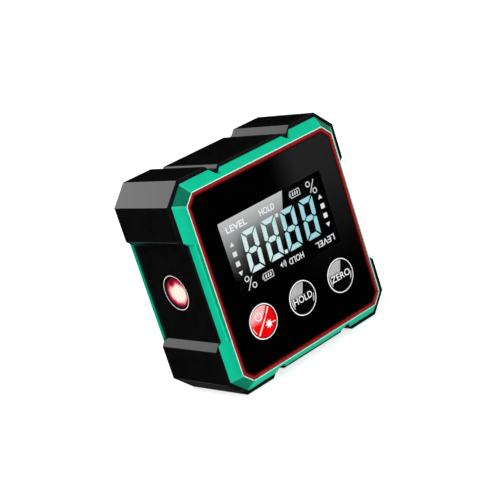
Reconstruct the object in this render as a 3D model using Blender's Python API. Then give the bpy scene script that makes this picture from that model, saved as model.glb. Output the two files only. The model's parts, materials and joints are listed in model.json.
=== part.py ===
"""Digital angle gauge: a square level box with a lit display, three buttons and a laser window in each side.

+Z is up and the front faces -Y. The origin is the middle of the base, between the feet.
Sizes are in millimetres, measured from an empty in the middle of the box. finish() turns them into metres.
"""

from math import cos, pi, radians, sin, sqrt

import bmesh
import bpy
from mathutils import Matrix, Vector

METRES_PER_MM = 0.001

# Clearances
SEAM = 0.15
GAP = 0.3

# Box outline, seen from the front
BODY_SIZE = 60.0
BODY_DEPTH = 29.3
CORNER_CHAMFER = 5.2
CORNER_BLOCK = 14.8
RECESS_DEPTH = 1.8
GROOVE_WIDTH = 1.5
MID_BLOCK_DROP = 0.95

# Housing
HOUSING_WALL = 1.8
BOSS_INSET = 4.4
BOSS_RADIUS = 2.5
RIB_THICKNESS = 1.2
RIB_END = 3.0

# Front and rear frames
FRAME_DEPTH = 2.69
FRAME_RIM = 1.1
FRAME_MID_RIM = 0.8
FRAME_SIDE_RIM = 0.55
FRAME_SIDE_DRAFT = 0.29
LIP_INSET = 3.9
LIP_CHAMFER = 2.75
LIP_WIDTH = 0.25
LEDGE_WIDTH = 1.0
SPIGOT_LENGTH = 1.5

# Front panel and rear cover
PLATE_SINK = 0.2
PLATE_THICKNESS = 1.0

# Display
DISPLAY_LEFT_MARGIN = 6.8
DISPLAY_RIGHT_MARGIN = 7.6
DISPLAY_TOP_MARGIN = 10.125
DISPLAY_BOTTOM_MARGIN = 21.025
DISPLAY_CORNER = 0.5
LCD_MARGIN = 1.0
LCD_THICKNESS = 1.5
HOLDER_LIP = 0.5
HOLDER_WALL = 1.2
BACKLIGHT_THICKNESS = 1.1
ZEBRA_HEIGHT = 1.8

# Circuit board
BOARD_THICKNESS = 1.2
BOARD_MARGIN = 0.8
CHIP_SIZE = 9.0
CHIP_HEIGHT = 1.4
CHIP_TO_BOSS_X = 11.0
CHIP_TO_BOSS_Z = 7.0
SENSOR_SIZE = 4.0
SENSOR_HEIGHT = 1.0
SENSOR_TO_BOSS_X = 12.0
BUZZER_RADIUS = 4.5
BUZZER_HEIGHT = 3.2
BUZZER_HOLE = 0.9
BUZZER_Z = -12.0

# Buttons and switches
BUTTON_PITCH = 14.65
BUTTON_RISE = 12.55
BUTTON_TRAVEL = 0.4
CAP_RADIUS = 4.25
CAP_CROWN = 0.12
CAP_EDGE = 0.1
RING_WIDTH = 0.4
RING_SINK = 0.05
HOLE_CLEARANCE = 0.2
FLANGE_WIDTH = 0.5
FLANGE_THICKNESS = 0.5
STEM_RADIUS = 1.2
STEM_LENGTH = 0.5
PRESS_CLEARANCE = 0.05
SWITCH_SIZE = 5.0
SWITCH_HEIGHT = 1.5
PLUNGER_RADIUS = 1.1

# Lasers, one behind a window in each side
LASER_Y = -0.5
LASER_Z = 0.3
BEZEL_RADIUS = 5.1
BEZEL_FACE = 0.35
BEZEL_DEPTH = 0.75
BEZEL_PROUD = 0.1
LENS_RADIUS = 3.95
LENS_THICKNESS = 0.5
MODULE_RADIUS = 3.0
MODULE_LENGTH = 10.0
MODULE_NOSE_RADIUS = 2.2
SOCKET_WALL = 1.0
SOCKET_LENGTH = 8.5

# Two AAA cells in a scalloped tray behind a screwed door
CELL_RADIUS = 5.25
CELL_NUB_RADIUS = 1.9
CELL_NUB_LENGTH = 1.0
CELL_SPACING = 15.0
CELL_EDGE = 0.5
TRAY_MARGIN = 2.025
TRAY_WALL = 0.8
TRAY_RIM = 1.2
DIVIDER_RISE = 2.5
DOOR_THICKNESS = 0.8
DOOR_SEAT = 0.75
DOOR_CORNER = 1.5
DOOR_SCREW_INSET = 4.575
CONTACT_THICKNESS = 0.3
SPRING_LENGTH = 1.3
SPRING_WIRE = 0.25
SPRING_WIDE = 3.4
SPRING_NARROW = 2.0
SPRING_TURNS = 2

# Magnets, flush in the feet
MAGNET_RADIUS = 3.0
MAGNET_HEIGHT = 2.0

# Screws
SCREW_RADIUS = 0.9
HEAD_RADIUS = 1.7
HEAD_HEIGHT = 1.0
HEAD_SINK = 0.2
SEAT_FLOOR = 0.9
SEAT_WALL = 0.6
SLOT_WIDTH = 0.5
SLOT_LENGTH = 2.0
SLOT_DEPTH = 0.5
CASE_SCREW_LENGTH = 8.0
BOARD_SCREW_LENGTH = 5.0
DOOR_SCREW_LENGTH = 3.8

MERGE_DISTANCE = 0.0001
SHARP_ANGLE = 35

# Facets of round pieces
FINE = 40
ROUND = 28
COARSE = 16
CROWN_STEPS = 4
COIL_STEPS = 16

# Worked out from the sizes above
BODY_HALF = BODY_SIZE / 2
FRONT_FACE = -BODY_DEPTH / 2
HOUSING_DEPTH = BODY_DEPTH - 2 * (FRAME_DEPTH + SEAM)
HOUSING_END = HOUSING_DEPTH / 2
FRAME_BASE = HOUSING_END + SEAM
RECESS_FLOOR = BODY_HALF - RECESS_DEPTH
CORNER_BLOCK_END = BODY_HALF - CORNER_BLOCK
MID_BLOCK_FOOT = CORNER_BLOCK_END - RECESS_DEPTH - GROOVE_WIDTH
CORNER_CENTRE = (CORNER_BLOCK_END + BODY_HALF - CORNER_CHAMFER) / 2
CAVITY_INSET = RECESS_DEPTH + HOUSING_WALL
CAVITY_HALF = BODY_HALF - CAVITY_INSET
BOSS_PLACE = CAVITY_HALF - BOSS_INSET
PLATE_HALF = BODY_HALF - LIP_INSET - SEAM
PLATE_FACE = BODY_DEPTH / 2 - PLATE_SINK
PLATE_BACK = PLATE_FACE - PLATE_THICKNESS
LEDGE_FACE = PLATE_BACK - SEAM
HEAD_TOP = PLATE_FACE - HEAD_SINK
SEAT_FACE = HEAD_TOP - HEAD_HEIGHT - SEAM
PAD_END = SEAT_FACE - SEAT_FLOOR
BOSS_END = PAD_END - GAP
SCREW_HOLE_RADIUS = SCREW_RADIUS + HOLE_CLEARANCE
SEAT_RADIUS = HEAD_RADIUS + HOLE_CLEARANCE
PAD_RADIUS = SEAT_RADIUS + SEAT_WALL

BUTTON_Z = -PLATE_HALF + BUTTON_RISE
RING_RADIUS = CAP_RADIUS + SEAM + RING_WIDTH
BUTTON_HOLE_RADIUS = RING_RADIUS + HOLE_CLEARANCE
FLANGE_FACE = -LEDGE_FACE
FLANGE_BACK = FLANGE_FACE + FLANGE_THICKNESS
STEM_TIP = FLANGE_BACK + STEM_LENGTH
PLUNGER_TIP = STEM_TIP + BUTTON_TRAVEL + PRESS_CLEARANCE

DISPLAY_WIDTH = 2 * PLATE_HALF - DISPLAY_LEFT_MARGIN - DISPLAY_RIGHT_MARGIN
DISPLAY_HEIGHT = 2 * PLATE_HALF - DISPLAY_TOP_MARGIN - DISPLAY_BOTTOM_MARGIN
DISPLAY_X = (DISPLAY_LEFT_MARGIN - DISPLAY_RIGHT_MARGIN) / 2
DISPLAY_Z = (DISPLAY_BOTTOM_MARGIN - DISPLAY_TOP_MARGIN) / 2
HOLDER_FACE = -PLATE_BACK + SEAM
LCD_FACE = HOLDER_FACE + HOLDER_LIP + SEAM
LCD_BACK = LCD_FACE + LCD_THICKNESS
BACKLIGHT_FACE = LCD_BACK + SEAM
BACKLIGHT_BACK = BACKLIGHT_FACE + BACKLIGHT_THICKNESS
BOARD_FACE = BACKLIGHT_BACK + GAP
BOARD_BACK = BOARD_FACE + BOARD_THICKNESS
BOSS_START = BOARD_BACK + GAP
LCD_HALF_WIDTH = DISPLAY_WIDTH / 2 + LCD_MARGIN
LCD_HALF_HEIGHT = DISPLAY_HEIGHT / 2 + LCD_MARGIN
CHIP_X = -(BOSS_PLACE - CHIP_TO_BOSS_X)
CHIP_Z = BOSS_PLACE - CHIP_TO_BOSS_Z
SENSOR_X = BOSS_PLACE - SENSOR_TO_BOSS_X

DOOR_BACK = PLATE_FACE - DOOR_THICKNESS
DOOR_SEAT_FACE = DOOR_BACK - SEAM
CELL_Y = DOOR_BACK - GAP - CELL_RADIUS
TROUGH_RADIUS = CELL_RADIUS + GAP
CONTACT_SIZE = sqrt(2) * (TROUGH_RADIUS - SEAM)
TRAY_HALF_X = CAVITY_HALF - TRAY_MARGIN - TRAY_WALL
CELL_LENGTH = 2 * TRAY_HALF_X - SPRING_LENGTH - 2 * CONTACT_THICKNESS - 5 * SEAM
DOOR_SCREW_X = TRAY_HALF_X - DOOR_SCREW_INSET
TRAY_HALF_Z = CELL_SPACING / 2 + TROUGH_RADIUS
CONTACT_X = TRAY_HALF_X - SEAM - CONTACT_THICKNESS / 2
DOOR_HALF_X = TRAY_HALF_X + DOOR_SEAT - SEAM
DOOR_HALF_Z = TRAY_HALF_Z + DOOR_SEAT - SEAM
DIVIDER_TOP = CELL_Y + DIVIDER_RISE

BEZEL_FACE_X = RECESS_FLOOR + BEZEL_PROUD
BEZEL_BACK_X = BEZEL_FACE_X - BEZEL_DEPTH
COUNTERBORE_X = BEZEL_BACK_X - SEAM
SOCKET_BORE = MODULE_RADIUS + GAP
SOCKET_END_X = CAVITY_HALF - SOCKET_LENGTH

BLACK = (0.010, 0.010, 0.011)
GLOSS_BLACK = (0.003, 0.003, 0.004)
GREEN = (0.0, 0.45, 0.27)
SILVER = (0.80, 0.80, 0.82)
STEEL = (0.45, 0.45, 0.47)
BRASS = (0.55, 0.38, 0.14)
BOARD_GREEN = (0.01, 0.16, 0.06)
WHITE = (0.75, 0.76, 0.78)
RED = (0.62, 0.01, 0.02)
CELL_SLEEVE = (0.02, 0.09, 0.25)


def clear_scene():
    for old in list(bpy.data.objects):
        bpy.data.objects.remove(old, do_unlink=True)


def new_object(name, shape):
    """Links an object that holds a finished bmesh, with its faces turned outward."""
    bmesh.ops.recalc_face_normals(shape, faces=shape.faces)
    mesh = bpy.data.meshes.new(name)
    shape.to_mesh(mesh)
    shape.free()
    obj = bpy.data.objects.new(name, mesh)
    bpy.context.scene.collection.objects.link(obj)
    return obj


def skinned(name, loops, ring=False):
    """A closed skin through loops of equal counts: capped at both ends, or run from the last to the first."""
    shape = bmesh.new()
    rows = [[shape.verts.new(point) for point in loop] for loop in loops]
    steps = list(zip(rows, rows[1:]))
    if ring:
        steps.append((rows[-1], rows[0]))
    else:
        shape.faces.new(rows[0])
        shape.faces.new(rows[-1])
    for low, high in steps:
        for here in range(len(low)):
            after = (here + 1) % len(low)
            shape.faces.new((low[here], low[after], high[after], high[here]))
    return new_object(name, shape)


def at_depth(outline, y):
    return [(x, y, z) for x, z in outline]


def prism(name, outline, y_start, y_end):
    """An outline in X and Z, drawn out along Y."""
    return skinned(name, [at_depth(outline, y_start), at_depth(outline, y_end)])


def rectangle(half_x, half_z, x=0.0, z=0.0):
    left, right, low, high = x - half_x, x + half_x, z - half_z, z + half_z
    return [(left, low), (right, low), (right, high), (left, high)]


def rounded_rectangle(half_x, half_z, corner, x=0.0, z=0.0, steps=4):
    points = []
    for quarter, (side_x, side_z) in enumerate(((1, 1), (-1, 1), (-1, -1), (1, -1))):
        for step in range(steps + 1):
            angle = (quarter + step / steps) * pi / 2
            points.append((
                x + side_x * (half_x - corner) + corner * cos(angle),
                z + side_z * (half_z - corner) + corner * sin(angle),
            ))
    return points


def octagon(half, leg):
    """A square outline with its corners cut at 45 degrees."""
    return quarters([(half, half - leg), (half - leg, half)])


def quarters(quarter):
    """Mirrors the upper right quarter of an outline into the other three, in order round the centre."""
    upper_left = [(-x, z) for x, z in reversed(quarter)]
    lower_left = [(-x, -z) for x, z in quarter]
    lower_right = [(x, -z) for x, z in reversed(quarter)]
    return quarter + upper_left + lower_left + lower_right


def inset_leg(leg, inset):
    """The corner cut of an octagon after all its sides have moved in by the same distance."""
    return leg - inset * (2 - sqrt(2))


def notched_outline(half, side_floor, groove_floor, mid_top):
    """Box outline: corner blocks, a recess in each side, and a middle block above and below."""
    groove_end = CORNER_BLOCK_END - RECESS_DEPTH
    mid_crest = MID_BLOCK_FOOT - (RECESS_DEPTH - MID_BLOCK_DROP)
    leg = inset_leg(CORNER_CHAMFER, BODY_HALF - half)
    return quarters([
        (side_floor, groove_end),
        (half, CORNER_BLOCK_END),
        (half, half - leg),
        (half - leg, half),
        (CORNER_BLOCK_END, half),
        (groove_end, groove_floor),
        (MID_BLOCK_FOOT, groove_floor),
        (mid_crest, mid_top),
    ])


def turned(name, profile, axis="Y", centre=(0.0, 0.0, 0.0), facets=ROUND, ring=False):
    """Spins a profile of (distance along the axis, radius) points. A ring profile closes on itself."""
    shape = bmesh.new()
    points = [shape.verts.new((0.0, radius, along)) for along, radius in profile]
    edges = [shape.edges.new(pair) for pair in zip(points, points[1:])]
    if ring:
        edges.append(shape.edges.new((points[-1], points[0])))
    bmesh.ops.spin(
        shape, geom=points + edges, cent=(0, 0, 0), axis=(0, 0, 1), angle=2 * pi, steps=facets, use_merge=True
    )
    bmesh.ops.remove_doubles(shape, verts=shape.verts, dist=MERGE_DISTANCE)
    turns = {"X": Matrix.Rotation(pi / 2, 4, "Y"), "Y": Matrix.Rotation(-pi / 2, 4, "X"), "Z": Matrix()}
    bmesh.ops.transform(shape, matrix=Matrix.Translation(centre) @ turns[axis], verts=shape.verts)
    return new_object(name, shape)


def rod(name, start, end, radius, axis="Y", centre=(0.0, 0.0, 0.0), facets=ROUND):
    return turned(name, [(start, 0.0), (start, radius), (end, radius), (end, 0.0)], axis, centre, facets)


def combine(target, tools, operation, solver):
    """Joins the tools to the target, cuts them out of it or keeps what they share, and deletes them."""
    for tool in tools:
        step = target.modifiers.new(operation.lower(), "BOOLEAN")
        step.operation = operation
        step.solver = solver
        step.object = tool
    graph = bpy.context.evaluated_depsgraph_get()
    result = bpy.data.meshes.new_from_object(target.evaluated_get(graph))
    target.modifiers.clear()
    target.data = result
    for tool in tools:
        bpy.data.objects.remove(tool, do_unlink=True)


def join(target, *tools, solver="EXACT"):
    combine(target, tools, "UNION", solver)


def cut(target, *tools, solver="EXACT"):
    combine(target, tools, "DIFFERENCE", solver)


def keep_shared(target, tool):
    combine(target, (tool,), "INTERSECT", "EXACT")


def finish(obj, colour, roughness, metallic=0.0, origin=(0.0, 0.0, 0.0)):
    """Gives a piece its material and its origin, and hangs it on the empty in the middle of the box."""
    material = bpy.data.materials.new(obj.name)
    material.use_nodes = True
    surface = material.node_tree.nodes["Principled BSDF"]
    surface.inputs["Base Color"].default_value = (*colour, 1.0)
    surface.inputs["Roughness"].default_value = roughness
    surface.inputs["Metallic"].default_value = metallic
    material.diffuse_color = (*colour, 1.0)
    obj.data.materials.clear()
    obj.data.materials.append(material)
    obj.data.transform(Matrix.Scale(METRES_PER_MM, 4) @ Matrix.Translation(-Vector(origin)))
    obj.data.shade_smooth()
    obj.data.set_sharp_from_angle(angle=radians(SHARP_ANGLE))
    obj.parent = box_centre
    obj.location = Vector(origin) * METRES_PER_MM


def meshed(name, curve):
    """Turns a bevelled curve into a closed mesh object."""
    guide = bpy.data.objects.new(name + "_guide", curve)
    bpy.context.scene.collection.objects.link(guide)
    graph = bpy.context.evaluated_depsgraph_get()
    shape = bmesh.new()
    shape.from_mesh(guide.evaluated_get(graph).to_mesh())
    bpy.data.objects.remove(guide, do_unlink=True)
    bmesh.ops.remove_doubles(shape, verts=shape.verts, dist=MERGE_DISTANCE)
    return new_object(name, shape)


def boss_places():
    return [(side_x * BOSS_PLACE, side_z * BOSS_PLACE) for side_x in (-1, 1) for side_z in (-1, 1)]


def make_housing():
    """The black ring of the box: corner blocks, recesses, screw bosses, laser sockets and magnet pockets."""
    outline = notched_outline(BODY_HALF, RECESS_FLOOR, RECESS_FLOOR, BODY_HALF - MID_BLOCK_DROP)
    housing = prism("housing", outline, -HOUSING_END, HOUSING_END)
    cavity = octagon(CAVITY_HALF, inset_leg(CORNER_CHAMFER, CAVITY_INSET))
    cut(housing, prism("cavity", cavity, -BODY_DEPTH, BODY_DEPTH))

    supports = []
    rib_limit = HOUSING_END - RIB_END
    rib_middle = (BOSS_PLACE + CAVITY_HALF + GAP) / 2
    rib_half = (CAVITY_HALF + GAP - BOSS_PLACE) / 2
    for x, z in boss_places():
        toward_x, toward_z = (1 if x > 0 else -1), (1 if z > 0 else -1)
        supports.append(rod("boss", BOSS_START, BOSS_END, BOSS_RADIUS, "Y", (x, 0, z), COARSE))
        across = rectangle(rib_half, RIB_THICKNESS / 2, toward_x * rib_middle, z)
        upright = rectangle(RIB_THICKNESS / 2, rib_half, x, toward_z * rib_middle)
        supports.append(prism("rib", across, BOSS_START + RIB_END / 2, rib_limit))
        supports.append(prism("rib", upright, BOSS_START + RIB_END / 2, rib_limit))
    for side in (-1, 1):
        middle = (0, LASER_Y, LASER_Z)
        socket_radius = SOCKET_BORE + SOCKET_WALL
        supports.append(
            rod("socket", side * SOCKET_END_X, side * (CAVITY_HALF + GAP), socket_radius, "X", middle, ROUND)
        )
    join(housing, *supports, solver="MANIFOLD")

    cuts = []
    for x, z in boss_places():
        cuts.append(rod("hole", -BODY_DEPTH, BODY_DEPTH, SCREW_HOLE_RADIUS, "Y", (x, 0, z), COARSE))
    for side in (-1, 1):
        middle = (0, LASER_Y, LASER_Z)
        bore_start = SOCKET_END_X - GAP
        cuts.append(rod("bore", side * bore_start, side * BODY_HALF, SOCKET_BORE, "X", middle, ROUND))
        cuts.append(
            rod("counterbore", side * COUNTERBORE_X, side * BODY_HALF, BEZEL_RADIUS + SEAM, "X", middle, FINE)
        )
        pocket_floor = BODY_HALF - MAGNET_HEIGHT - SEAM
        foot = (side * CORNER_CENTRE, 0, 0)
        cuts.append(rod("pocket", -BODY_SIZE, -pocket_floor, MAGNET_RADIUS + SEAM, "Z", foot, ROUND))
    cut(housing, *cuts, solver="MANIFOLD")
    finish(housing, BLACK, 0.42)


def make_frame(name, side):
    """A bevelled green frame. Its notches line up with those of the housing, one rim further in.

    The rear frame, on the positive side, has them above and below only. Its sides are straight.
    """
    lip_half = BODY_HALF - LIP_INSET
    ledge_half = lip_half - LEDGE_WIDTH
    base_leg = inset_leg(CORNER_CHAMFER, FRAME_RIM)
    lip_leg = LIP_CHAMFER
    crest_leg = inset_leg(LIP_CHAMFER, -LIP_WIDTH)
    ledge_leg = inset_leg(LIP_CHAMFER, LEDGE_WIDTH)
    spigot_half = CAVITY_HALF - GAP
    spigot_leg = inset_leg(CORNER_CHAMFER, CAVITY_INSET + GAP)
    spigot_end = FRAME_BASE - SPIGOT_LENGTH
    face = BODY_DEPTH / 2
    section = [
        (BODY_HALF - FRAME_RIM, base_leg, FRAME_BASE),
        (lip_half + LIP_WIDTH, crest_leg, face),
        (lip_half, lip_leg, face),
        (lip_half, lip_leg, LEDGE_FACE),
        (ledge_half, ledge_leg, LEDGE_FACE),
        (ledge_half, ledge_leg, spigot_end),
        (spigot_half, spigot_leg, spigot_end),
        (spigot_half, spigot_leg, FRAME_BASE),
    ]
    frame = skinned(name, [at_depth(octagon(half, leg), side * y) for half, leg, y in section], ring=True)

    loops = []
    for depth in (spigot_end - GAP, face + GAP):
        side_floor = BODY_HALF
        if side < 0:
            side_floor = RECESS_FLOOR - FRAME_SIDE_RIM - FRAME_SIDE_DRAFT * (depth - FRAME_BASE)
        mid_top = BODY_HALF - MID_BLOCK_DROP - FRAME_MID_RIM
        outline = notched_outline(BODY_HALF, side_floor, RECESS_FLOOR - FRAME_RIM, mid_top)
        loops.append(at_depth(outline, side * depth))
    keep_shared(frame, skinned("notches", loops))
    finish(frame, GREEN, 0.35)


def plate_outline():
    return octagon(PLATE_HALF, inset_leg(LIP_CHAMFER, SEAM))


def button_places():
    return {"laser": -BUTTON_PITCH, "hold": 0.0, "zero": BUTTON_PITCH}


def make_front_panel():
    """The gloss black fascia, with its display window and button holes."""
    panel = prism("front_panel", plate_outline(), -PLATE_FACE, -PLATE_BACK)
    window = rounded_rectangle(DISPLAY_WIDTH / 2, DISPLAY_HEIGHT / 2, DISPLAY_CORNER, DISPLAY_X, DISPLAY_Z)
    cuts = [prism("window", window, -BODY_DEPTH, 0.0)]
    for x in button_places().values():
        cuts.append(rod("hole", -BODY_DEPTH, 0.0, BUTTON_HOLE_RADIUS, "Y", (x, 0, BUTTON_Z), FINE))
    cut(panel, *cuts)
    finish(panel, GLOSS_BLACK, 0.08)


def make_display():
    """Window, holder, glass, backlight and the rubber strip that joins the glass to the board."""
    lens = rounded_rectangle(
        DISPLAY_WIDTH / 2 - SEAM, DISPLAY_HEIGHT / 2 - SEAM, DISPLAY_CORNER - SEAM, DISPLAY_X, DISPLAY_Z
    )
    finish(prism("display_lens", lens, -PLATE_FACE, -PLATE_BACK), (0.02, 0.02, 0.022), 0.03)

    wall = SEAM + HOLDER_WALL
    outer = rectangle(LCD_HALF_WIDTH + wall, LCD_HALF_HEIGHT + wall, DISPLAY_X, DISPLAY_Z)
    inner = rectangle(LCD_HALF_WIDTH + SEAM, LCD_HALF_HEIGHT + SEAM, DISPLAY_X, DISPLAY_Z)
    opening = rectangle(DISPLAY_WIDTH / 2 + SEAM, DISPLAY_HEIGHT / 2 + SEAM, DISPLAY_X, DISPLAY_Z)
    holder = prism("display_holder", outer, HOLDER_FACE, BOARD_FACE - GAP)
    cut(
        holder,
        prism("pocket", inner, HOLDER_FACE + HOLDER_LIP, BOARD_FACE),
        prism("opening", opening, -BODY_DEPTH, BOARD_FACE),
    )
    finish(holder, (0.02, 0.02, 0.02), 0.5)

    glass = rectangle(LCD_HALF_WIDTH, LCD_HALF_HEIGHT, DISPLAY_X, DISPLAY_Z)
    finish(prism("display_glass", glass, LCD_FACE, LCD_BACK), (0.01, 0.012, 0.014), 0.1)

    strip_z = DISPLAY_Z - LCD_HALF_HEIGHT + ZEBRA_HEIGHT / 2
    strip = rectangle(DISPLAY_WIDTH / 2, ZEBRA_HEIGHT / 2, DISPLAY_X, strip_z)
    finish(prism("contact_strip", strip, BACKLIGHT_FACE, BACKLIGHT_BACK), (0.10, 0.10, 0.11), 0.6)

    light_low = strip_z + ZEBRA_HEIGHT / 2 + GAP
    light_high = DISPLAY_Z + LCD_HALF_HEIGHT
    light_half = (light_high - light_low) / 2
    light = rectangle(LCD_HALF_WIDTH, light_half, DISPLAY_X, light_low + light_half)
    finish(prism("backlight", light, BACKLIGHT_FACE, BACKLIGHT_BACK), WHITE, 0.3)


def make_circuit_board():
    board = prism(
        "circuit_board",
        octagon(CAVITY_HALF - BOARD_MARGIN, inset_leg(CORNER_CHAMFER, CAVITY_INSET + BOARD_MARGIN)),
        BOARD_FACE,
        BOARD_BACK,
    )
    holes = [
        rod("hole", -BODY_DEPTH, 0.0, SCREW_HOLE_RADIUS, "Y", (x, 0, z), COARSE) for x, z in boss_places()
    ]
    cut(board, *holes)
    finish(board, BOARD_GREEN, 0.45)

    behind = BOARD_BACK + GAP
    chip = rectangle(CHIP_SIZE / 2, CHIP_SIZE / 2, CHIP_X, CHIP_Z)
    finish(prism("controller_chip", chip, behind, behind + CHIP_HEIGHT), (0.015, 0.015, 0.016), 0.5)
    sensor = rectangle(SENSOR_SIZE / 2, SENSOR_SIZE / 2, SENSOR_X, CHIP_Z)
    finish(prism("tilt_sensor", sensor, behind, behind + SENSOR_HEIGHT), (0.02, 0.02, 0.022), 0.4)

    buzzer = [
        (behind, 0.0),
        (behind, BUZZER_RADIUS),
        (behind + BUZZER_HEIGHT, BUZZER_RADIUS),
        (behind + BUZZER_HEIGHT, BUZZER_HOLE),
        (behind + BUZZER_HEIGHT / 2, BUZZER_HOLE),
        (behind + BUZZER_HEIGHT / 2, 0.0),
    ]
    finish(turned("buzzer", buzzer, "Y", (0, 0, BUZZER_Z), COARSE), (0.015, 0.015, 0.015), 0.5)


def make_button(label, x):
    """A crowned cap on a flange and a stem, its bright ring, and the switch behind it on the board."""
    place = (x, 0, BUTTON_Z)
    origin = (x, FRONT_FACE, BUTTON_Z)
    crown_radius = CAP_RADIUS - CAP_EDGE
    edge = FRONT_FACE + CAP_CROWN
    crown = []
    for step in range(CROWN_STEPS + 1):
        part = step / CROWN_STEPS
        crown.append((FRONT_FACE + CAP_CROWN * part**2, crown_radius * part))
    cap = crown + [
        (edge + CAP_EDGE, CAP_RADIUS),
        (FLANGE_FACE, CAP_RADIUS),
        (FLANGE_FACE, BUTTON_HOLE_RADIUS + FLANGE_WIDTH),
        (FLANGE_BACK, BUTTON_HOLE_RADIUS + FLANGE_WIDTH),
        (FLANGE_BACK, STEM_RADIUS),
        (STEM_TIP, STEM_RADIUS),
        (STEM_TIP, 0.0),
    ]
    colour = RED if label == "laser" else GLOSS_BLACK
    finish(turned(label + "_button_cap", cap, "Y", place, FINE), colour, 0.12, origin=origin)

    ring_face = FRONT_FACE + RING_SINK
    ring_back = FLANGE_FACE - SEAM
    ring_inner = CAP_RADIUS + SEAM
    ring = [
        (ring_back, ring_inner),
        (ring_face + RING_WIDTH / 4, ring_inner),
        (ring_face, ring_inner + RING_WIDTH / 3),
        (ring_face, RING_RADIUS - RING_WIDTH / 3),
        (ring_face + RING_WIDTH / 4, RING_RADIUS),
        (ring_back, RING_RADIUS),
    ]
    ring_piece = turned(label + "_button_ring", ring, "Y", place, FINE, ring=True)
    finish(ring_piece, SILVER, 0.15, 1.0, origin)

    foot = BOARD_FACE - GAP
    body_face = foot - SWITCH_HEIGHT
    switch = prism(
        label + "_switch", rectangle(SWITCH_SIZE / 2, SWITCH_SIZE / 2, x, BUTTON_Z), body_face, foot
    )
    join(switch, rod("plunger", PLUNGER_TIP, body_face + GAP, PLUNGER_RADIUS, "Y", place, COARSE))
    finish(switch, (0.03, 0.03, 0.03), 0.4)


def make_laser(label, side):
    """A bright bezel, a clear window and the brass module behind it, in the recess of one side."""
    middle = (0, LASER_Y, LASER_Z)
    face_radius = BEZEL_RADIUS - BEZEL_FACE
    bezel = [
        (side * BEZEL_BACK_X, BEZEL_RADIUS),
        (side * BEZEL_FACE_X, BEZEL_RADIUS),
        (side * BEZEL_FACE_X, face_radius),
        (side * (BEZEL_BACK_X + LENS_THICKNESS), LENS_RADIUS + SEAM),
        (side * BEZEL_BACK_X, LENS_RADIUS + SEAM),
    ]
    finish(turned("laser_bezel_" + label, bezel, "X", middle, FINE, ring=True), SILVER, 0.25, 1.0)

    lens_face = BEZEL_BACK_X + LENS_THICKNESS
    lens = rod("laser_lens_" + label, side * BEZEL_BACK_X, side * lens_face, LENS_RADIUS, "X", middle, FINE)
    finish(lens, (0.55, 0.05, 0.06), 0.08)

    nose = COUNTERBORE_X - GAP
    shoulder = nose - MODULE_RADIUS / 2
    module = [
        (side * nose, 0.0),
        (side * nose, MODULE_NOSE_RADIUS),
        (side * shoulder, MODULE_NOSE_RADIUS),
        (side * shoulder, MODULE_RADIUS),
        (side * (nose - MODULE_LENGTH), MODULE_RADIUS),
        (side * (nose - MODULE_LENGTH), 0.0),
    ]
    finish(turned("laser_module_" + label, module, "X", middle, ROUND), BRASS, 0.3, 1.0)


def screw_seat(x, z):
    """The pad and the stepped hole that take a sunk screw head, as a solid to join and two to cut."""
    place = (x, 0, z)
    pad = rod("pad", PAD_END, PLATE_BACK + GAP, PAD_RADIUS, "Y", place, ROUND)
    seat = rod("seat", SEAT_FACE, BODY_DEPTH, SEAT_RADIUS, "Y", place, ROUND)
    hole = rod("hole", 0.0, BODY_DEPTH, SCREW_HOLE_RADIUS, "Y", place, COARSE)
    return pad, seat, hole


def make_rear_cover():
    """The rear plate, moulded in one with the scalloped tray for the two cells."""
    cover = prism("rear_cover", plate_outline(), PLATE_BACK, PLATE_FACE)
    rim = rectangle(TRAY_HALF_X + TRAY_RIM, TRAY_HALF_Z + TRAY_RIM)
    added = [prism("tray", rim, CELL_Y, PLATE_FACE - SEAM)]
    for side in (-1, 1):
        trough = (0, CELL_Y, side * CELL_SPACING / 2)
        reach = TRAY_HALF_X + TRAY_WALL
        added.append(rod("trough", -reach, reach, TROUGH_RADIUS + TRAY_WALL, "X", trough, FINE))
    seats = [screw_seat(x, z) for x, z in boss_places()]
    added += [pad for pad, _, _ in seats]
    join(cover, *added)

    seat_half_x = DOOR_HALF_X + SEAM
    seat_half_z = DOOR_HALF_Z + SEAM
    inside = rectangle(TRAY_HALF_X, TRAY_HALF_Z)
    door_space = rounded_rectangle(seat_half_x, seat_half_z, DOOR_CORNER)
    removed = [
        prism("door_seat", door_space, DOOR_SEAT_FACE, BODY_DEPTH),
        prism("above_divider", inside, DIVIDER_TOP, BODY_DEPTH),
    ]
    for side in (-1, 1):
        trough = (0, CELL_Y, side * CELL_SPACING / 2)
        removed.append(rod("cell_space", -TRAY_HALF_X, TRAY_HALF_X, TROUGH_RADIUS, "X", trough, FINE))
        beside = rectangle(TRAY_HALF_X, TROUGH_RADIUS, 0, side * CELL_SPACING / 2)
        removed.append(prism("beside_cell", beside, CELL_Y, BODY_DEPTH))
    for _, seat, hole in seats:
        removed += [seat, hole]
    cut(cover, *removed)

    post_place = (DOOR_SCREW_X, 0, 0)
    post_radius = CELL_SPACING / 2 - TROUGH_RADIUS + TRAY_WALL / 4
    join(cover, rod("post", CELL_Y + GAP, BOSS_END, post_radius, "Y", post_place, COARSE))
    cut(cover, rod("hole", CELL_Y + GAP, BODY_DEPTH, SCREW_HOLE_RADIUS, "Y", post_place, COARSE))
    finish(cover, BLACK, 0.45)


def make_battery_door():
    outline = rounded_rectangle(DOOR_HALF_X, DOOR_HALF_Z, DOOR_CORNER - SEAM)
    door = prism("battery_door", outline, DOOR_BACK, PLATE_FACE)
    pad, seat, hole = screw_seat(DOOR_SCREW_X, 0.0)
    join(door, pad)
    cut(door, seat, hole)
    finish(door, BLACK, 0.5)


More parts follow.
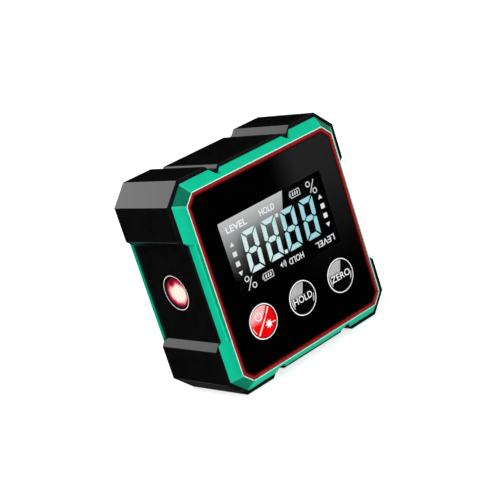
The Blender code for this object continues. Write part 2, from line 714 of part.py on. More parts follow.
def make_cell(name, z, nub_side):
    """An AAA cell. Its nub points to the side where the flat contact is."""
    nub_tip = nub_side * (CONTACT_X - CONTACT_THICKNESS / 2 - SEAM)
    shoulder = nub_tip - nub_side * CELL_NUB_LENGTH
    base = nub_tip - nub_side * CELL_LENGTH
    profile = [
        (nub_tip, 0.0),
        (nub_tip, CELL_NUB_RADIUS),
        (shoulder, CELL_NUB_RADIUS),
        (shoulder, CELL_RADIUS - CELL_EDGE),
        (shoulder - nub_side * CELL_EDGE, CELL_RADIUS),
        (base + nub_side * CELL_EDGE, CELL_RADIUS),
        (base, CELL_RADIUS - CELL_EDGE),
        (base, 0.0),
    ]
    finish(turned(name, profile, "X", (0, CELL_Y, z), ROUND), CELL_SLEEVE, 0.35)


def make_spring(name, z, side):
    """A conical contact spring between the end of the tray and the flat end of a cell."""
    steps = COIL_STEPS * SPRING_TURNS
    start = CONTACT_X - CONTACT_THICKNESS / 2 - SEAM - SPRING_WIRE
    travel = SPRING_LENGTH - 2 * SPRING_WIRE
    curve = bpy.data.curves.new(name, "CURVE")
    curve.dimensions = "3D"
    curve.bevel_depth = SPRING_WIRE
    curve.bevel_resolution = 1
    curve.use_fill_caps = True
    coil = curve.splines.new("POLY")
    coil.points.add(steps)
    for step, point in enumerate(coil.points):
        part = step / steps
        radius = SPRING_WIDE + (SPRING_NARROW - SPRING_WIDE) * part
        angle = 2 * pi * SPRING_TURNS * part
        x = side * (start - travel * part)
        point.co = (x, CELL_Y + radius * cos(angle), z + radius * sin(angle), 1.0)
    finish(meshed(name, curve), STEEL, 0.3, 1.0)


def contact_plate(name, side, z_low, z_high):
    """A flat contact that stands in one end of the tray."""
    x = side * CONTACT_X
    half = CONTACT_THICKNESS / 2
    outline = [(x - half, z_low), (x + half, z_low), (x + half, z_high), (x - half, z_high)]
    finish(prism(name, outline, CELL_Y - CONTACT_SIZE / 2, CELL_Y + CONTACT_SIZE / 2), STEEL, 0.3, 1.0)


def make_battery_pack():
    high = CELL_SPACING / 2
    make_cell("battery_upper", high, -1)
    make_cell("battery_lower", -high, 1)
    make_spring("spring_upper", high, 1)
    make_spring("spring_lower", -high, -1)
    half = CONTACT_SIZE / 2
    contact_plate("contact_upper", 1, high - half, high + half)
    contact_plate("contact_lower", 1, -high - half, -high + half)


def make_contact_bridge():
    """Links the two cells at the left end: one plate for each cell, and a strap over the divider."""
    x = -CONTACT_X
    half = CONTACT_THICKNESS / 2
    high = CELL_SPACING / 2
    reach = high + CONTACT_SIZE / 2
    inner = high - CONTACT_SIZE / 2
    strap_low = DIVIDER_TOP + SEAM
    strap_high = strap_low + CONTACT_SIZE / 8
    plate_low = CELL_Y - CONTACT_SIZE / 2
    outline = [
        (plate_low, -reach), (strap_high, -reach), (strap_high, reach), (plate_low, reach),
        (plate_low, inner), (strap_low, inner), (strap_low, -inner), (plate_low, -inner),
    ]
    loops = [[(x + offset, y, z) for y, z in outline] for offset in (-half, half)]
    finish(skinned("contact_bridge", loops), STEEL, 0.3, 1.0)


def make_magnet(label, side):
    """A disc magnet, set flush in one foot of the base."""
    top = -BODY_HALF + MAGNET_HEIGHT
    place = (side * CORNER_CENTRE, 0, 0)
    magnet = rod("magnet_" + label, top - MAGNET_HEIGHT, top, MAGNET_RADIUS, "Z", place, ROUND)
    finish(magnet, STEEL, 0.25, 1.0)


def make_screw(name, x, z, head_top, length, side):
    """A pan-head screw with a cross slot, driven in along Y. side is the way its head faces."""
    place = (x, 0, z)
    head_base = head_top - side * HEAD_HEIGHT
    profile = [
        (head_top, 0.0),
        (head_top, HEAD_RADIUS * 0.8),
        (head_top - side * HEAD_HEIGHT / 3, HEAD_RADIUS),
        (head_base, HEAD_RADIUS),
        (head_base, SCREW_RADIUS),
        (head_base - side * length, SCREW_RADIUS),
        (head_base - side * length, 0.0),
    ]
    screw = turned(name, profile, "Y", place, COARSE)
    slot_floor = head_top - side * SLOT_DEPTH
    long_half, short_half = SLOT_LENGTH / 2, SLOT_WIDTH / 2
    slots = [
        prism("slot", rectangle(long_half, short_half, x, z), slot_floor, head_top + side * GAP),
        prism("slot", rectangle(short_half, long_half, x, z), slot_floor, head_top + side * GAP),
    ]
    cut(screw, *slots)
    finish(screw, STEEL, 0.3, 1.0)


def make_screws():
    board_head_top = BOARD_FACE - SEAM - HEAD_HEIGHT
    for number, (x, z) in enumerate(boss_places(), 1):
        make_screw(f"case_screw_{number}", x, z, HEAD_TOP, CASE_SCREW_LENGTH, 1)
        make_screw(f"board_screw_{number}", x, z, board_head_top, BOARD_SCREW_LENGTH, -1)
    make_screw("door_screw", DOOR_SCREW_X, 0.0, HEAD_TOP, DOOR_SCREW_LENGTH, 1)


clear_scene()
box_centre = bpy.data.objects.new("box_centre", None)
box_centre.location = (0.0, 0.0, BODY_HALF * METRES_PER_MM)
bpy.context.scene.collection.objects.link(box_centre)

make_housing()
make_frame("front_frame", -1)
make_frame("rear_frame", 1)
make_front_panel()
make_display()
make_circuit_board()
for button_label, button_x in button_places().items():
    make_button(button_label, button_x)
for laser_label, laser_side in (("left", -1), ("right", 1)):
    make_laser(laser_label, laser_side)
    make_magnet(laser_label, laser_side)
make_rear_cover()
make_battery_door()
make_battery_pack()
make_contact_bridge()
make_screws()
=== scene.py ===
import json
from math import cos, hypot, pi, radians, sin

import bmesh
import bpy
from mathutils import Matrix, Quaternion, Vector

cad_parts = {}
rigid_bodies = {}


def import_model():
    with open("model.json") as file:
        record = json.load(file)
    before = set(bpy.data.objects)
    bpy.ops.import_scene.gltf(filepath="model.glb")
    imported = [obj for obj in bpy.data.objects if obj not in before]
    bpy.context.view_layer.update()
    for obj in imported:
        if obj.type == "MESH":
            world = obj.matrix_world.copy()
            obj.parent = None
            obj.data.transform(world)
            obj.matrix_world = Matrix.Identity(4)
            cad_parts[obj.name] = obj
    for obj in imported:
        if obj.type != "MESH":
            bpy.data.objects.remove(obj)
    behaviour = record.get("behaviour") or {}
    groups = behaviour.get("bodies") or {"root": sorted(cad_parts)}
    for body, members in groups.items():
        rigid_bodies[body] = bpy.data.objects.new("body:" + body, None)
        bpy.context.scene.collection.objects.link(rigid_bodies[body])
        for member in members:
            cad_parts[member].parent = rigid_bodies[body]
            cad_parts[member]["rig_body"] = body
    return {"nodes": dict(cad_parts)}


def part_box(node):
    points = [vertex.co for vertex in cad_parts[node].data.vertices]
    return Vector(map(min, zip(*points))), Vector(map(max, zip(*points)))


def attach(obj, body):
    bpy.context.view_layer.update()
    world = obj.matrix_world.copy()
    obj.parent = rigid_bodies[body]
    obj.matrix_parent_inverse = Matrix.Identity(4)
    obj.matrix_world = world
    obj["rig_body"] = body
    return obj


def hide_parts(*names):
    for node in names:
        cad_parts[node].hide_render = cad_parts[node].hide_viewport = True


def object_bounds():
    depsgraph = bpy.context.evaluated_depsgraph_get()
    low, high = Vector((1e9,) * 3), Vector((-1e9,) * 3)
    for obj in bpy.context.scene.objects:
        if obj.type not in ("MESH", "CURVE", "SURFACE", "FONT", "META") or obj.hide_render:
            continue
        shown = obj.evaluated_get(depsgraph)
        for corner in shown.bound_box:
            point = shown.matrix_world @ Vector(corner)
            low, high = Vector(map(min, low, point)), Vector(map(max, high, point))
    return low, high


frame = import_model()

# Values with MM are in metres, as the frame is. Other sizes are in millimetres.
MM = 0.001
cad_low, cad_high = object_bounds()

# Camera, fitted to the corners of the box in the photograph
CAMERA_PLACE = Vector((-225.37, -303.98, 133.78)) * MM
CAMERA_AIM = Vector((-0.55, 0.57, 30.41)) * MM
CAMERA_ROLL = radians(-18.04)
CAMERA_LENS = 104.29
CAMERA_SENSOR = 36.0

# Light levels: 1 shows a white surface that faces the lamp as white
AMBIENT_LEVEL = 0.42
KEY_LEVEL = 0.6
KEY_DIRECTION = Vector((-0.6, 0.15, 0.78))
KEY_DISTANCE = 0.6
KEY_SIZE = 0.35
FILL_LEVEL = 0.8
FILL_DIRECTION = Vector((-0.2, -0.95, 0.1))
FILL_DISTANCE = 0.7
FILL_SIZE = 0.4
RIM_RADIANCE = 3.95
RIM_DISTANCE = 1.5
RIM_SIZE = 0.48
RIM_POINT = Vector((-16, 0, 27)) * MM
RIM_NORMAL = Vector((-1, 0, 1))
FLOOR_ALBEDO = 0.75
FLOOR_GLOW = 0.69
FLOOR_SIZE = 6.0
FLOOR_DROP = 0.01 * MM
FLAG_HEIGHT = 0.4 * MM
UNDER_GLOW = 0.035

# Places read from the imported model
housing_low, housing_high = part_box("housing")
CENTRE = (housing_low + housing_high) / 2
BODY_HALF = housing_high.x
panel_low, panel_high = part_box("front_panel")
PANEL_FACE = panel_low.y
PANEL_HALF = panel_high.x
GLASS_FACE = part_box("display_glass")[0].y

# How faces and edges are told apart
TOLERANCE = 0.01 * MM           # a point this near to a plane lies on it
BEVEL_FACING = (0.3, 0.95)      # the range of a bevel's normal along Y
FACET_SHARE = 0.3               # the least of a corner facet's normal along X and along Z
ROUND_ANGLE = 50                # a rounded edge shades smooth up to this turn, in degrees

# Widths of the rounded edges
HOUSING_ROUND = 0.13 * MM
HIP_ROUND = 0.3 * MM
PANEL_ROUND = 0.05 * MM
REAR_ROUND = 0.06 * MM
BEZEL_ROUND = 0.06 * MM
DOOR_ROUND = 0.08 * MM
MAGNET_ROUND = 0.1 * MM
RING_ROUND = 0.07 * MM
LASER_ROUND = 0.06 * MM

# The housing's outer edges lie within this wall, and clear of the laser bores and magnet seats by this margin
HOUSING_WALL = 2.4 * MM
BORE_MARGIN = 0.5 * MM

# Printed layers: their thickness, and the red border as distances in from the edge of the panel
INK = 0.02 * MM
BORDER_STEPS = [0.04, 0.62, 0.92, 1.2]
BORDER_TONES = ["red_print", "red_print_dark", "red_print_faint"]
PANEL_LEG = 2.66 * MM

# Display, measured from the middle of the box
DIGIT_COUNT = 4
DIGIT_LEFT = -12.18
DIGIT_LOW = -0.88
DIGIT_WIDTH = 5.15
DIGIT_HEIGHT = 11.25
DIGIT_PITCH = 7.05
DIGIT_STROKE = 1.4
DIGIT_GAP = 0.19
DIGIT_SLANT = 0.066
SYMBOL_SPACING = 2.72
SYMBOL_SIZE = 1.35
ARROW_HEIGHT = 1.2
ARROW_WIDTH = 1.5
LEFT_COLUMN_X = -15.62
RIGHT_COLUMN_X = 17.1
COLUMN_TOP = 8.72
DOT_SIZE = 1.0
DOTS = [(1.17, 9.87), (0.6, -0.25)]
BATTERY_SIZE = (3.4, 1.75)
BATTERIES = [(9.25, 12.87), (-7.4, -3.5)]
PERCENTS = [(15.18, 12.15, 1), (-13.5, -2.72, -1)]
SPEAKER = [(-2.6, -3.15), (-2.6, -2.65), (-2.35, -2.65), (-1.95, -2.1), (-1.95, -3.7), (-2.35, -3.15)]
SPEAKER_MIDDLE = (-1.9, -2.9)
SPEAKER_WAVES = (0.45, 0.85, 1.25)
FINE_LINE = 0.17
DISPLAY_WORD_HEIGHT = 1.75
DISPLAY_WORDS = [   # name, text, middle x and z, width, material, upside down, weight
    ("lcd_level", "LEVEL", -12.4, 12.58, 7.2, "lcd_word", False, 0.02),
    ("lcd_hold", "HOLD", -1.4, 12.6, 5.4, "lcd_word", False, 0.02),
    ("lcd_hold_below", "HOLD", 3.17, -3.3, 5.4, "lcd_mark", True, 0.008),
    ("lcd_level_below", "LEVEL", 14.33, -3.2, 7.1, "lcd_mark", True, 0.008),
]

# Bright lines round the laser windows and the buttons, pale lines that also glow as a painted highlight: radius and
# width
BEZEL_LINE = (4.82, 0.16)
RING_LINE = (4.62, 0.24)

# Buttons
BUTTONS = ("laser", "hold", "zero")
CROWN_DEPTH = 0.5 * MM
CROWN_DROP = 0.12 * MM
CROWN_RADIUS = 4.15 * MM
# Each cap's gloss colour, then the pale colour of the painted reflection wedge on its top
CAP_COLOURS = {"laser": ("#f40508", "#f0b2b2"), "hold": ("#060607", "#b4b4b4"), "zero": ("#060607", "#b4b4b4")}
WEDGE_EDGES = {"laser": (0.82, 0.81), "hold": (0.477, 0.31), "zero": (0.477, 0.31)}
WEDGE_FADES = {"laser": (-0.3, 1.8), "hold": (0.3, 1.6), "zero": (0.3, 1.6)}
WORD_WIDTHS = {"hold": 6.8, "zero": 7.1}
WORD_HEIGHT = 1.85
WORD_WEIGHT = 0.003
WORD_Z = -0.08


def middle_of(node):
    low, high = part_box(node)
    return (low + high) / 2


def shade(code):
    """The linear colour of a web colour code."""
    parts = [int(code[i:i + 2], 16) / 255 for i in (1, 3, 5)]
    return tuple(p / 12.92 if p <= 0.04045 else ((p + 0.055) / 1.055) ** 2.4 for p in parts)


# Materials

def new_material(name):
    made = bpy.data.materials.new(name)
    made.use_nodes = True
    return made, made.node_tree, made.node_tree.nodes["Principled BSDF"]


def maths(tree, operation, first, second=0.0):
    node = tree.nodes.new("ShaderNodeMath")
    node.operation = operation
    for socket, value in zip(node.inputs, (first, second)):
        if isinstance(value, (int, float)):
            socket.default_value = value
        else:
            tree.links.new(value, socket)
    return node.outputs["Value"]


def noise(tree, size, detail=2.0, distortion=0.0):
    """A noise whose lumps are about this size in metres, fixed to the object."""
    place = tree.nodes.new("ShaderNodeTexCoord")
    texture = tree.nodes.new("ShaderNodeTexNoise")
    texture.inputs["Scale"].default_value = 1 / size
    texture.inputs["Detail"].default_value = detail
    texture.inputs["Distortion"].default_value = distortion
    tree.links.new(place.outputs["Object"], texture.inputs["Vector"])
    return texture.outputs["Fac"]


def ramp(tree, value, stops):
    """A colour that follows a value through (place, colour) stops."""
    node = tree.nodes.new("ShaderNodeValToRGB")
    band = node.color_ramp
    while len(band.elements) < len(stops):
        band.elements.new(1.0)
    for element, (place, colour) in zip(band.elements, stops):
        element.position = place
        element.color = (*colour, 1.0)
    tree.links.new(value, node.inputs["Fac"])
    return node.outputs["Color"]


def spread(tree, value, low, high):
    """A value from 0 to 1, stretched to run from low to high."""
    node = tree.nodes.new("ShaderNodeMapRange")
    node.inputs["To Min"].default_value = low
    node.inputs["To Max"].default_value = high
    tree.links.new(value, node.inputs["Value"])
    return node.outputs["Result"]


def share(tree, value, start, end, interpolation="LINEAR"):
    """0 where a value is at start, 1 where it is at end, and held past both."""
    node = tree.nodes.new("ShaderNodeMapRange")
    node.interpolation_type = interpolation
    node.inputs["From Min"].default_value = start
    node.inputs["From Max"].default_value = end
    tree.links.new(value, node.inputs["Value"])
    return node.outputs["Result"]


def blend(tree, amount, first, second):
    """The first colour, or the second where the amount is 1."""
    node = tree.nodes.new("ShaderNodeMix")
    node.data_type = "RGBA"
    tree.links.new(amount, node.inputs["Factor"])
    for socket, value in (("A", first), ("B", second)):
        if isinstance(value, tuple):
            node.inputs[socket].default_value = (*value, 1.0)
        else:
            tree.links.new(value, node.inputs[socket])
    return node.outputs["Result"]


def place_of(tree):
    """The place of a point of the object, as outputs named X, Y and Z."""
    place = tree.nodes.new("ShaderNodeTexCoord")
    split = tree.nodes.new("ShaderNodeSeparateXYZ")
    tree.links.new(place.outputs["Object"], split.inputs["Vector"])
    return split.outputs


def millimetres_from(tree, value, origin):
    return maths(tree, "DIVIDE", maths(tree, "SUBTRACT", value, origin), MM)


def finish(name, colour, roughness, variation=0.08, mottle=2.0, grain=0.0, grain_depth=0.0, metallic=0.0,
           specular=0.5):
    """A surface with a slightly uneven colour and gloss and, where it is moulded, a fine grain.

    mottle and grain are the sizes of the uneven patches and of the grain, in millimetres.
    """
    made, tree, surface = new_material(name)
    darker = tuple(part * (1 - variation) for part in colour)
    lighter = tuple(min(1.0, part * (1 + variation)) for part in colour)
    patches = noise(tree, mottle * MM, 3.0)
    tree.links.new(ramp(tree, patches, [(0.3, darker), (0.7, lighter)]), surface.inputs["Base Color"])
    smears = noise(tree, mottle * MM * 0.6, 4.0, 0.4)
    low, high = roughness
    tree.links.new(spread(tree, smears, low, high), surface.inputs["Roughness"])
    surface.inputs["Metallic"].default_value = metallic
    surface.inputs["Specular IOR Level"].default_value = specular
    if grain:
        bump = tree.nodes.new("ShaderNodeBump")
        bump.inputs["Strength"].default_value = 1.0
        bump.inputs["Distance"].default_value = grain_depth * MM
        tree.links.new(noise(tree, grain * MM, 2.0), bump.inputs["Height"])
        tree.links.new(bump.outputs["Normal"], surface.inputs["Normal"])
    return made


def glow(name, stops, axis, start, end, mottle=0.0):
    """A lit mark whose colour runs from start to end along one axis, in millimetres from the box middle."""
    made, tree, surface = new_material(name)
    offset = CENTRE["XYZ".index(axis)]
    along = share(tree, place_of(tree)[axis], start * MM + offset, end * MM + offset)
    uneven = spread(tree, noise(tree, 1.1 * MM, 2.0), -mottle, mottle)
    colour = ramp(tree, maths(tree, "ADD", along, uneven), stops)
    tree.links.new(colour, surface.inputs["Emission Color"])
    tree.links.new(spread(tree, noise(tree, 0.9 * MM), 0.9, 1.06), surface.inputs["Emission Strength"])
    surface.inputs["Base Color"].default_value = (0.02, 0.02, 0.02, 1.0)
    surface.inputs["Roughness"].default_value = 0.4
    surface.inputs["Specular IOR Level"].default_value = 0.1
    return made


MATERIALS = {
    "housing": finish("housing_black", shade("#0c0c0d"), (0.15, 0.2), 0.25, 3.0, 0.16, 0.0012, specular=0.16),
    # Painted highlight: a lighter black for rounded edges
    "housing_edge_highlight": finish("housing_edge_highlight", shade("#3c3c3d"), (0.2, 0.3), 0.2, 1.5, specular=0.4),
    "cover": finish("cover_black", shade("#101011"), (0.42, 0.55), 0.2, 3.0, 0.25, 0.012, specular=0.35),
    "green": finish("frame_green", shade("#04b78d"), (0.28, 0.38), 0.05, 3.0, 0.2, 0.003, specular=0.08),
    # Painted light: a paler green for bevels that face down
    "green_low_lightened": finish("frame_low_lightened", shade("#2bdcb0"), (0.28, 0.38), 0.05, 2.0, 0.2, 0.003, specular=0.08),
    # Painted shade and painted light: darker and paler copies of the green for the corner facets, by the way they face
    "green_facet_shade": finish("frame_facet_shade", shade("#02664f"), (0.28, 0.38), 0.08, 1.2, 0.2, 0.003, specular=0.08),
    "green_facet_low_shade": finish("frame_facet_low_shade", shade("#047a5e"), (0.28, 0.38), 0.08, 1.2, specular=0.08),
    "green_facet_lit": finish("frame_facet_lit", shade("#6fd6bd"), (0.28, 0.38), 0.08, 1.2, specular=0.08),
    # Painted highlight: a paler green for the rounded hips
    "green_hip_highlight": finish("frame_hip_highlight", shade("#27b391"), (0.25, 0.35), 0.06, 1.5, specular=0.15),
    # Painted highlight: the pale lip round the plate, greener along one side
    "lip_highlight": finish("frame_lip_highlight", shade("#d8ece2"), (0.15, 0.25), 0.05, 1.0, specular=0.3),
    "lip_green_highlight": finish("frame_lip_green_highlight", shade("#8fdcc6"), (0.15, 0.25), 0.05, 1.0, specular=0.3),
    "red_print": finish("red_print", shade("#981b1d"), (0.25, 0.35), 0.14, 1.2, specular=0.05),
    "red_print_dark": finish("red_print_dark", shade("#5e0c0e"), (0.25, 0.35), 0.14, 1.2, specular=0.05),
    "red_print_faint": finish("red_print_faint", shade("#260304"), (0.2, 0.3), 0.14, 1.2, specular=0.05),
    # White print, also used for the streaks that are painted reflections
    "white_print_and_highlights": finish("white_print_and_highlights", shade("#fafafa"), (0.3, 0.4), 0.04, 0.6, specular=0.3),
    "bezel_cone": finish("bezel_dark", shade("#180a0b"), (0.3, 0.4), 0.1, 0.8, specular=0.3),
    "steel": finish("steel", shade("#b6b6b8"), (0.25, 0.38), 0.08, 0.6, 0.1, 0.004, metallic=1.0),
    "screw": finish("screw_black", shade("#5c5c5e"), (0.28, 0.38), 0.1, 0.6, 0.12, 0.004, metallic=1.0),
    "magnet": finish("magnet_nickel", shade("#c4c4c6"), (0.18, 0.28), 0.06, 1.0, 0.15, 0.003, metallic=1.0),
    "brass": finish("module_brass", shade("#c9a24a"), (0.22, 0.34), 0.08, 1.0, metallic=1.0),
    "board": finish("board_green", shade("#0f5c34"), (0.35, 0.5), 0.15, 1.5, 0.3, 0.01),
    "chip": finish("chip_black", shade("#161617"), (0.4, 0.55), 0.15, 0.8, 0.1, 0.006),
    # Painted shade: a dull near-black for walls and flanges in gaps and hollows
    "painted_shade": finish("painted_shade_black", shade("#020202"), (0.8, 0.9), 0.2, 1.0, specular=0.0),
    "holder": finish("holder_black", shade("#0b0b0c"), (0.5, 0.6), 0.15, 1.5, 0.2, 0.006),
    "diffuser": finish("backlight_white", shade("#dfe2e6"), (0.3, 0.45), 0.03, 2.0),
    "rubber": finish("strip_grey", shade("#5a5a5e"), (0.6, 0.75), 0.1, 0.5, 0.15, 0.006),
    "sleeve": finish("cell_sleeve", shade("#1c4a8a"), (0.25, 0.35), 0.06, 3.0),
    "lcd_digit": glow(
        "lcd_digit",
        [(0.0, shade("#e2f7f5")), (0.42, shade("#d4f3f1")), (0.55, shade("#b2e4e8")), (1.0, shade("#9ddae2"))],
        "X", -13, 15, mottle=0.2,
    ),
    "lcd_mark": glow("lcd_mark", [(0.0, shade("#f4f6f6")), (1.0, shade("#e2eaea"))], "Z", -5, 14),
    "lcd_word": glow("lcd_word", [(0.0, shade("#ffffff")), (1.0, shade("#f6fbfb"))], "X", -13, 4),
}


def lens_material():
    made, tree, surface = new_material("display_lens")
    tint = ramp(tree, noise(tree, 8 * MM), [(0.3, (0.93, 0.94, 0.95)), (0.7, (0.96, 0.97, 0.98))])
    tree.links.new(tint, surface.inputs["Base Color"])
    surface.inputs["Roughness"].default_value = 0.0
    surface.inputs["IOR"].default_value = 1.45
    surface.inputs["Transmission Weight"].default_value = 1.0
    return made


# Painted glare on the display, a painted reflection that the glass emits: its right edge leans, and it fades downward,
# later at the left
GLARE_EDGE_X = 5.3
GLARE_EDGE_LEAN = 0.343
GLARE_BOTTOM = -1.0
GLARE_TOP = 15.3
GLARE_STOPS = [
    (0.0, 0.0), (0.10, 0.003), (0.22, 0.0085), (0.37, 0.036), (0.55, 0.104), (0.63, 0.19), (0.77, 0.40), (0.85, 0.46),
    (1.0, 0.61),
]
GLARE_LEFT_STOPS = [(0.0, 0.0), (0.10, 0.0105), (0.3, 0.06), (0.38, 0.13), (0.68, 0.355), (0.83, 0.468), (1.0, 0.6)]
GLARE_LEFT_START = -11.5
GLARE_LEFT_FULL = -15.5


def glass_material():
    """The dark display glass, with a pale patch of painted glare toward the upper left, a painted reflection that it
    emits.
    """
    made, tree, surface = new_material("display_glass")
    place = place_of(tree)
    x, z = place["X"], place["Z"]
    bottom, top = CENTRE.z + GLARE_BOTTOM * MM, CENTRE.z + GLARE_TOP * MM
    height = share(tree, z, bottom, top)
    left_start, left_full = CENTRE.x + GLARE_LEFT_START * MM, CENTRE.x + GLARE_LEFT_FULL * MM
    leftward = share(tree, x, left_start, left_full, "SMOOTHSTEP")
    fades = [
        ramp(tree, height, [(at, (level,) * 3) for at, level in stops]) for stops in (GLARE_STOPS, GLARE_LEFT_STOPS)
    ]
    grey = blend(tree, leftward, *fades)
    edge_shift = maths(tree, "MULTIPLY", maths(tree, "SUBTRACT", z, top), GLARE_EDGE_LEAN)
    inside = maths(tree, "LESS_THAN", maths(tree, "SUBTRACT", x, edge_shift), GLARE_EDGE_X * MM)
    cloud = spread(tree, noise(tree, 1.5 * MM, 3.0), 0.92, 1.08)
    tree.links.new(grey, surface.inputs["Emission Color"])
    tree.links.new(maths(tree, "MULTIPLY", inside, cloud), surface.inputs["Emission Strength"])
    surface.inputs["Base Color"].default_value = (0.003, 0.003, 0.004, 1.0)
    surface.inputs["Roughness"].default_value = 0.3
    surface.inputs["Specular IOR Level"].default_value = 0.1
    return made


# The green of the side bevels, from the panel outward, beside the corner blocks and beside the recess: painted shade
# near the panel and painted light at the outer edge
SIDE_WIDTH = 2.7
RECESS_HALF = 13.5
BLOCK_TONES = [(0.0, shade("#049a76")), (0.3, shade("#04ab83")), (0.9, shade("#07b88e"))]
RECESS_TONES = [(0.0, shade("#037a5b")), (0.3, shade("#048d69")), (0.38, shade("#0ac59a")), (0.7, shade("#20d6ac"))]


def side_material():
    """The green of the side bevels, in painted shade and painted light: even beside the corner blocks, paler at the
    outer edge beside the recess.
    """
    made, tree, surface = new_material("frame_side_shaded")
    place = place_of(tree)
    reach = maths(tree, "ABSOLUTE", maths(tree, "SUBTRACT", place["X"], CENTRE.x))
    height = maths(tree, "ABSOLUTE", maths(tree, "SUBTRACT", place["Z"], CENTRE.z))
    beside_recess = maths(tree, "LESS_THAN", height, RECESS_HALF * MM)
    across = share(tree, reach, PANEL_HALF, PANEL_HALF + SIDE_WIDTH * MM)
    uneven = maths(tree, "ADD", across, spread(tree, noise(tree, 2 * MM, 3.0), -0.08, 0.08))
    colour = blend(tree, beside_recess, ramp(tree, uneven, BLOCK_TONES), ramp(tree, uneven, RECESS_TONES))
    tree.links.new(colour, surface.inputs["Base Color"])
    tree.links.new(spread(tree, noise(tree, 1.5 * MM), 0.28, 0.38), surface.inputs["Roughness"])
    surface.inputs["Specular IOR Level"].default_value = 0.08
    return made


# The painted sheen on the panel, a painted reflection: it grows between these places along each axis, from the first
# grey to the second
PANEL_SHEEN = {"X": (1, 13), "Z": (-14, 22)}
PANEL_GREYS = (0.0006, 0.015)


def panel_material():
    """Gloss black, with a faint painted sheen, a painted reflection, toward the upper right."""
    made, tree, surface = new_material("panel_black")
    place = place_of(tree)
    painted_sheen = []
    for axis, (start, end) in PANEL_SHEEN.items():
        offset = CENTRE["XYZ".index(axis)]
        painted_sheen.append(share(tree, place[axis], start * MM + offset, end * MM + offset, "SMOOTHSTEP"))
    amount = maths(tree, "MULTIPLY", *painted_sheen)
    uneven = maths(tree, "MULTIPLY", amount, spread(tree, noise(tree, 4 * MM, 3.0), 0.9, 1.1))
    greys = [(at, (level,) * 3) for at, level in enumerate(PANEL_GREYS)]
    tree.links.new(ramp(tree, uneven, greys), surface.inputs["Base Color"])
    tree.links.new(spread(tree, noise(tree, 6 * MM), 0.04, 0.08), surface.inputs["Roughness"])
    surface.inputs["Specular IOR Level"].default_value = 0.15
    return made


MATERIALS["green_side_shaded"] = side_material()
MATERIALS["panel"] = panel_material()
MATERIALS["lens"] = lens_material()
MATERIALS["glass"] = glass_material()


def line_material(name, node, axes, line, bright, dark, glow_level):
    """A dark ring with a thin bright line on its face, at this radius and of this width in millimetres. Its colour
    also glows at glow_level, a painted highlight.
    """
    made, tree, surface = new_material(name)
    place = place_of(tree)
    middle = middle_of(node)
    squares = [
        maths(tree, "POWER", millimetres_from(tree, place[axis], middle["XYZ".index(axis)]), 2.0) for axis in axes
    ]
    reach = maths(tree, "SQRT", maths(tree, "ADD", *squares))
    radius, width = line
    off_line = maths(tree, "ABSOLUTE", maths(tree, "SUBTRACT", reach, radius))
    on_line = maths(tree, "LESS_THAN", off_line, width / 2)
    uneven = maths(tree, "MULTIPLY", on_line, spread(tree, noise(tree, 1.2 * MM), 0.85, 1.0))
    colour = ramp(tree, uneven, [(0.0, dark), (1.0, bright)])
    tree.links.new(colour, surface.inputs["Base Color"])
    tree.links.new(colour, surface.inputs["Emission Color"])
    surface.inputs["Emission Strength"].default_value = glow_level
    tree.links.new(spread(tree, noise(tree, 0.8 * MM), 0.3, 0.4), surface.inputs["Roughness"])
    surface.inputs["Specular IOR Level"].default_value = 0.3
    return made


# The laser window: ovals as y, z, half width and half height from its middle, how far the patch dims the core, and
# the colours from the core outward
# The window's colours glow: painted light on a window that is no lamp
LASER_CORE = (-0.6, -0.15, 3.45, 2.75)
LASER_PATCH = (0.9, 2.2, 1.7, 1.5)
LASER_PATCH_DEPTH = 0.42
LASER_WOBBLE = 0.2
LASER_STOPS = [
    (0.0, (1.0, 0.96, 0.86)), (0.25, (0.93, 0.90, 0.74)), (0.40, (1.0, 0.86, 0.74)), (0.48, (0.95, 0.42, 0.38)),
    (0.57, (0.62, 0.03, 0.09)), (0.70, (0.16, 0.003, 0.012)), (0.82, (0.015, 0.001, 0.002)),
]


def laser_material():
    """The laser window: a pale core, wider than tall, with a crimson patch above, that falls through red to black, all
    emitted as a painted glow.
    """
    made, tree, surface = new_material("laser_window")
    place = place_of(tree)
    middle = middle_of("laser_lens_left")

    def away_from(y, z, half_width, half_height):
        across = maths(tree, "DIVIDE", maths(tree, "SUBTRACT", place["Y"], middle.y + y * MM), half_width * MM)
        upward = maths(tree, "DIVIDE", maths(tree, "SUBTRACT", place["Z"], middle.z + z * MM), half_height * MM)
        squares = maths(tree, "ADD", maths(tree, "POWER", across, 2.0), maths(tree, "POWER", upward, 2.0))
        return maths(tree, "SQRT", squares)

    patch = maths(tree, "MAXIMUM", maths(tree, "SUBTRACT", 1.0, away_from(*LASER_PATCH)), 0.0)
    reach = maths(tree, "ADD", away_from(*LASER_CORE), maths(tree, "MULTIPLY", patch, LASER_PATCH_DEPTH))
    wobble = spread(tree, noise(tree, 1.2 * MM, 3.0), -LASER_WOBBLE, LASER_WOBBLE)
    scaled = maths(tree, "MULTIPLY", maths(tree, "ADD", reach, wobble), 0.5)
    tree.links.new(ramp(tree, scaled, LASER_STOPS), surface.inputs["Emission Color"])
    surface.inputs["Emission Strength"].default_value = 1.0
    surface.inputs["Base Color"].default_value = (0.02, 0.002, 0.003, 1.0)
    surface.inputs["Roughness"].default_value = 0.15
    surface.inputs["Specular IOR Level"].default_value = 0.2
    return made


MATERIALS["laser"] = laser_material()
MATERIALS["bezel"] = line_material(
    "bezel_face", "laser_bezel_left", "YZ", BEZEL_LINE, shade("#fff0f0"), shade("#0c0708"), 0.35,
)


# Meshes

def body_of(node):
    return frame["nodes"][node]["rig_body"]


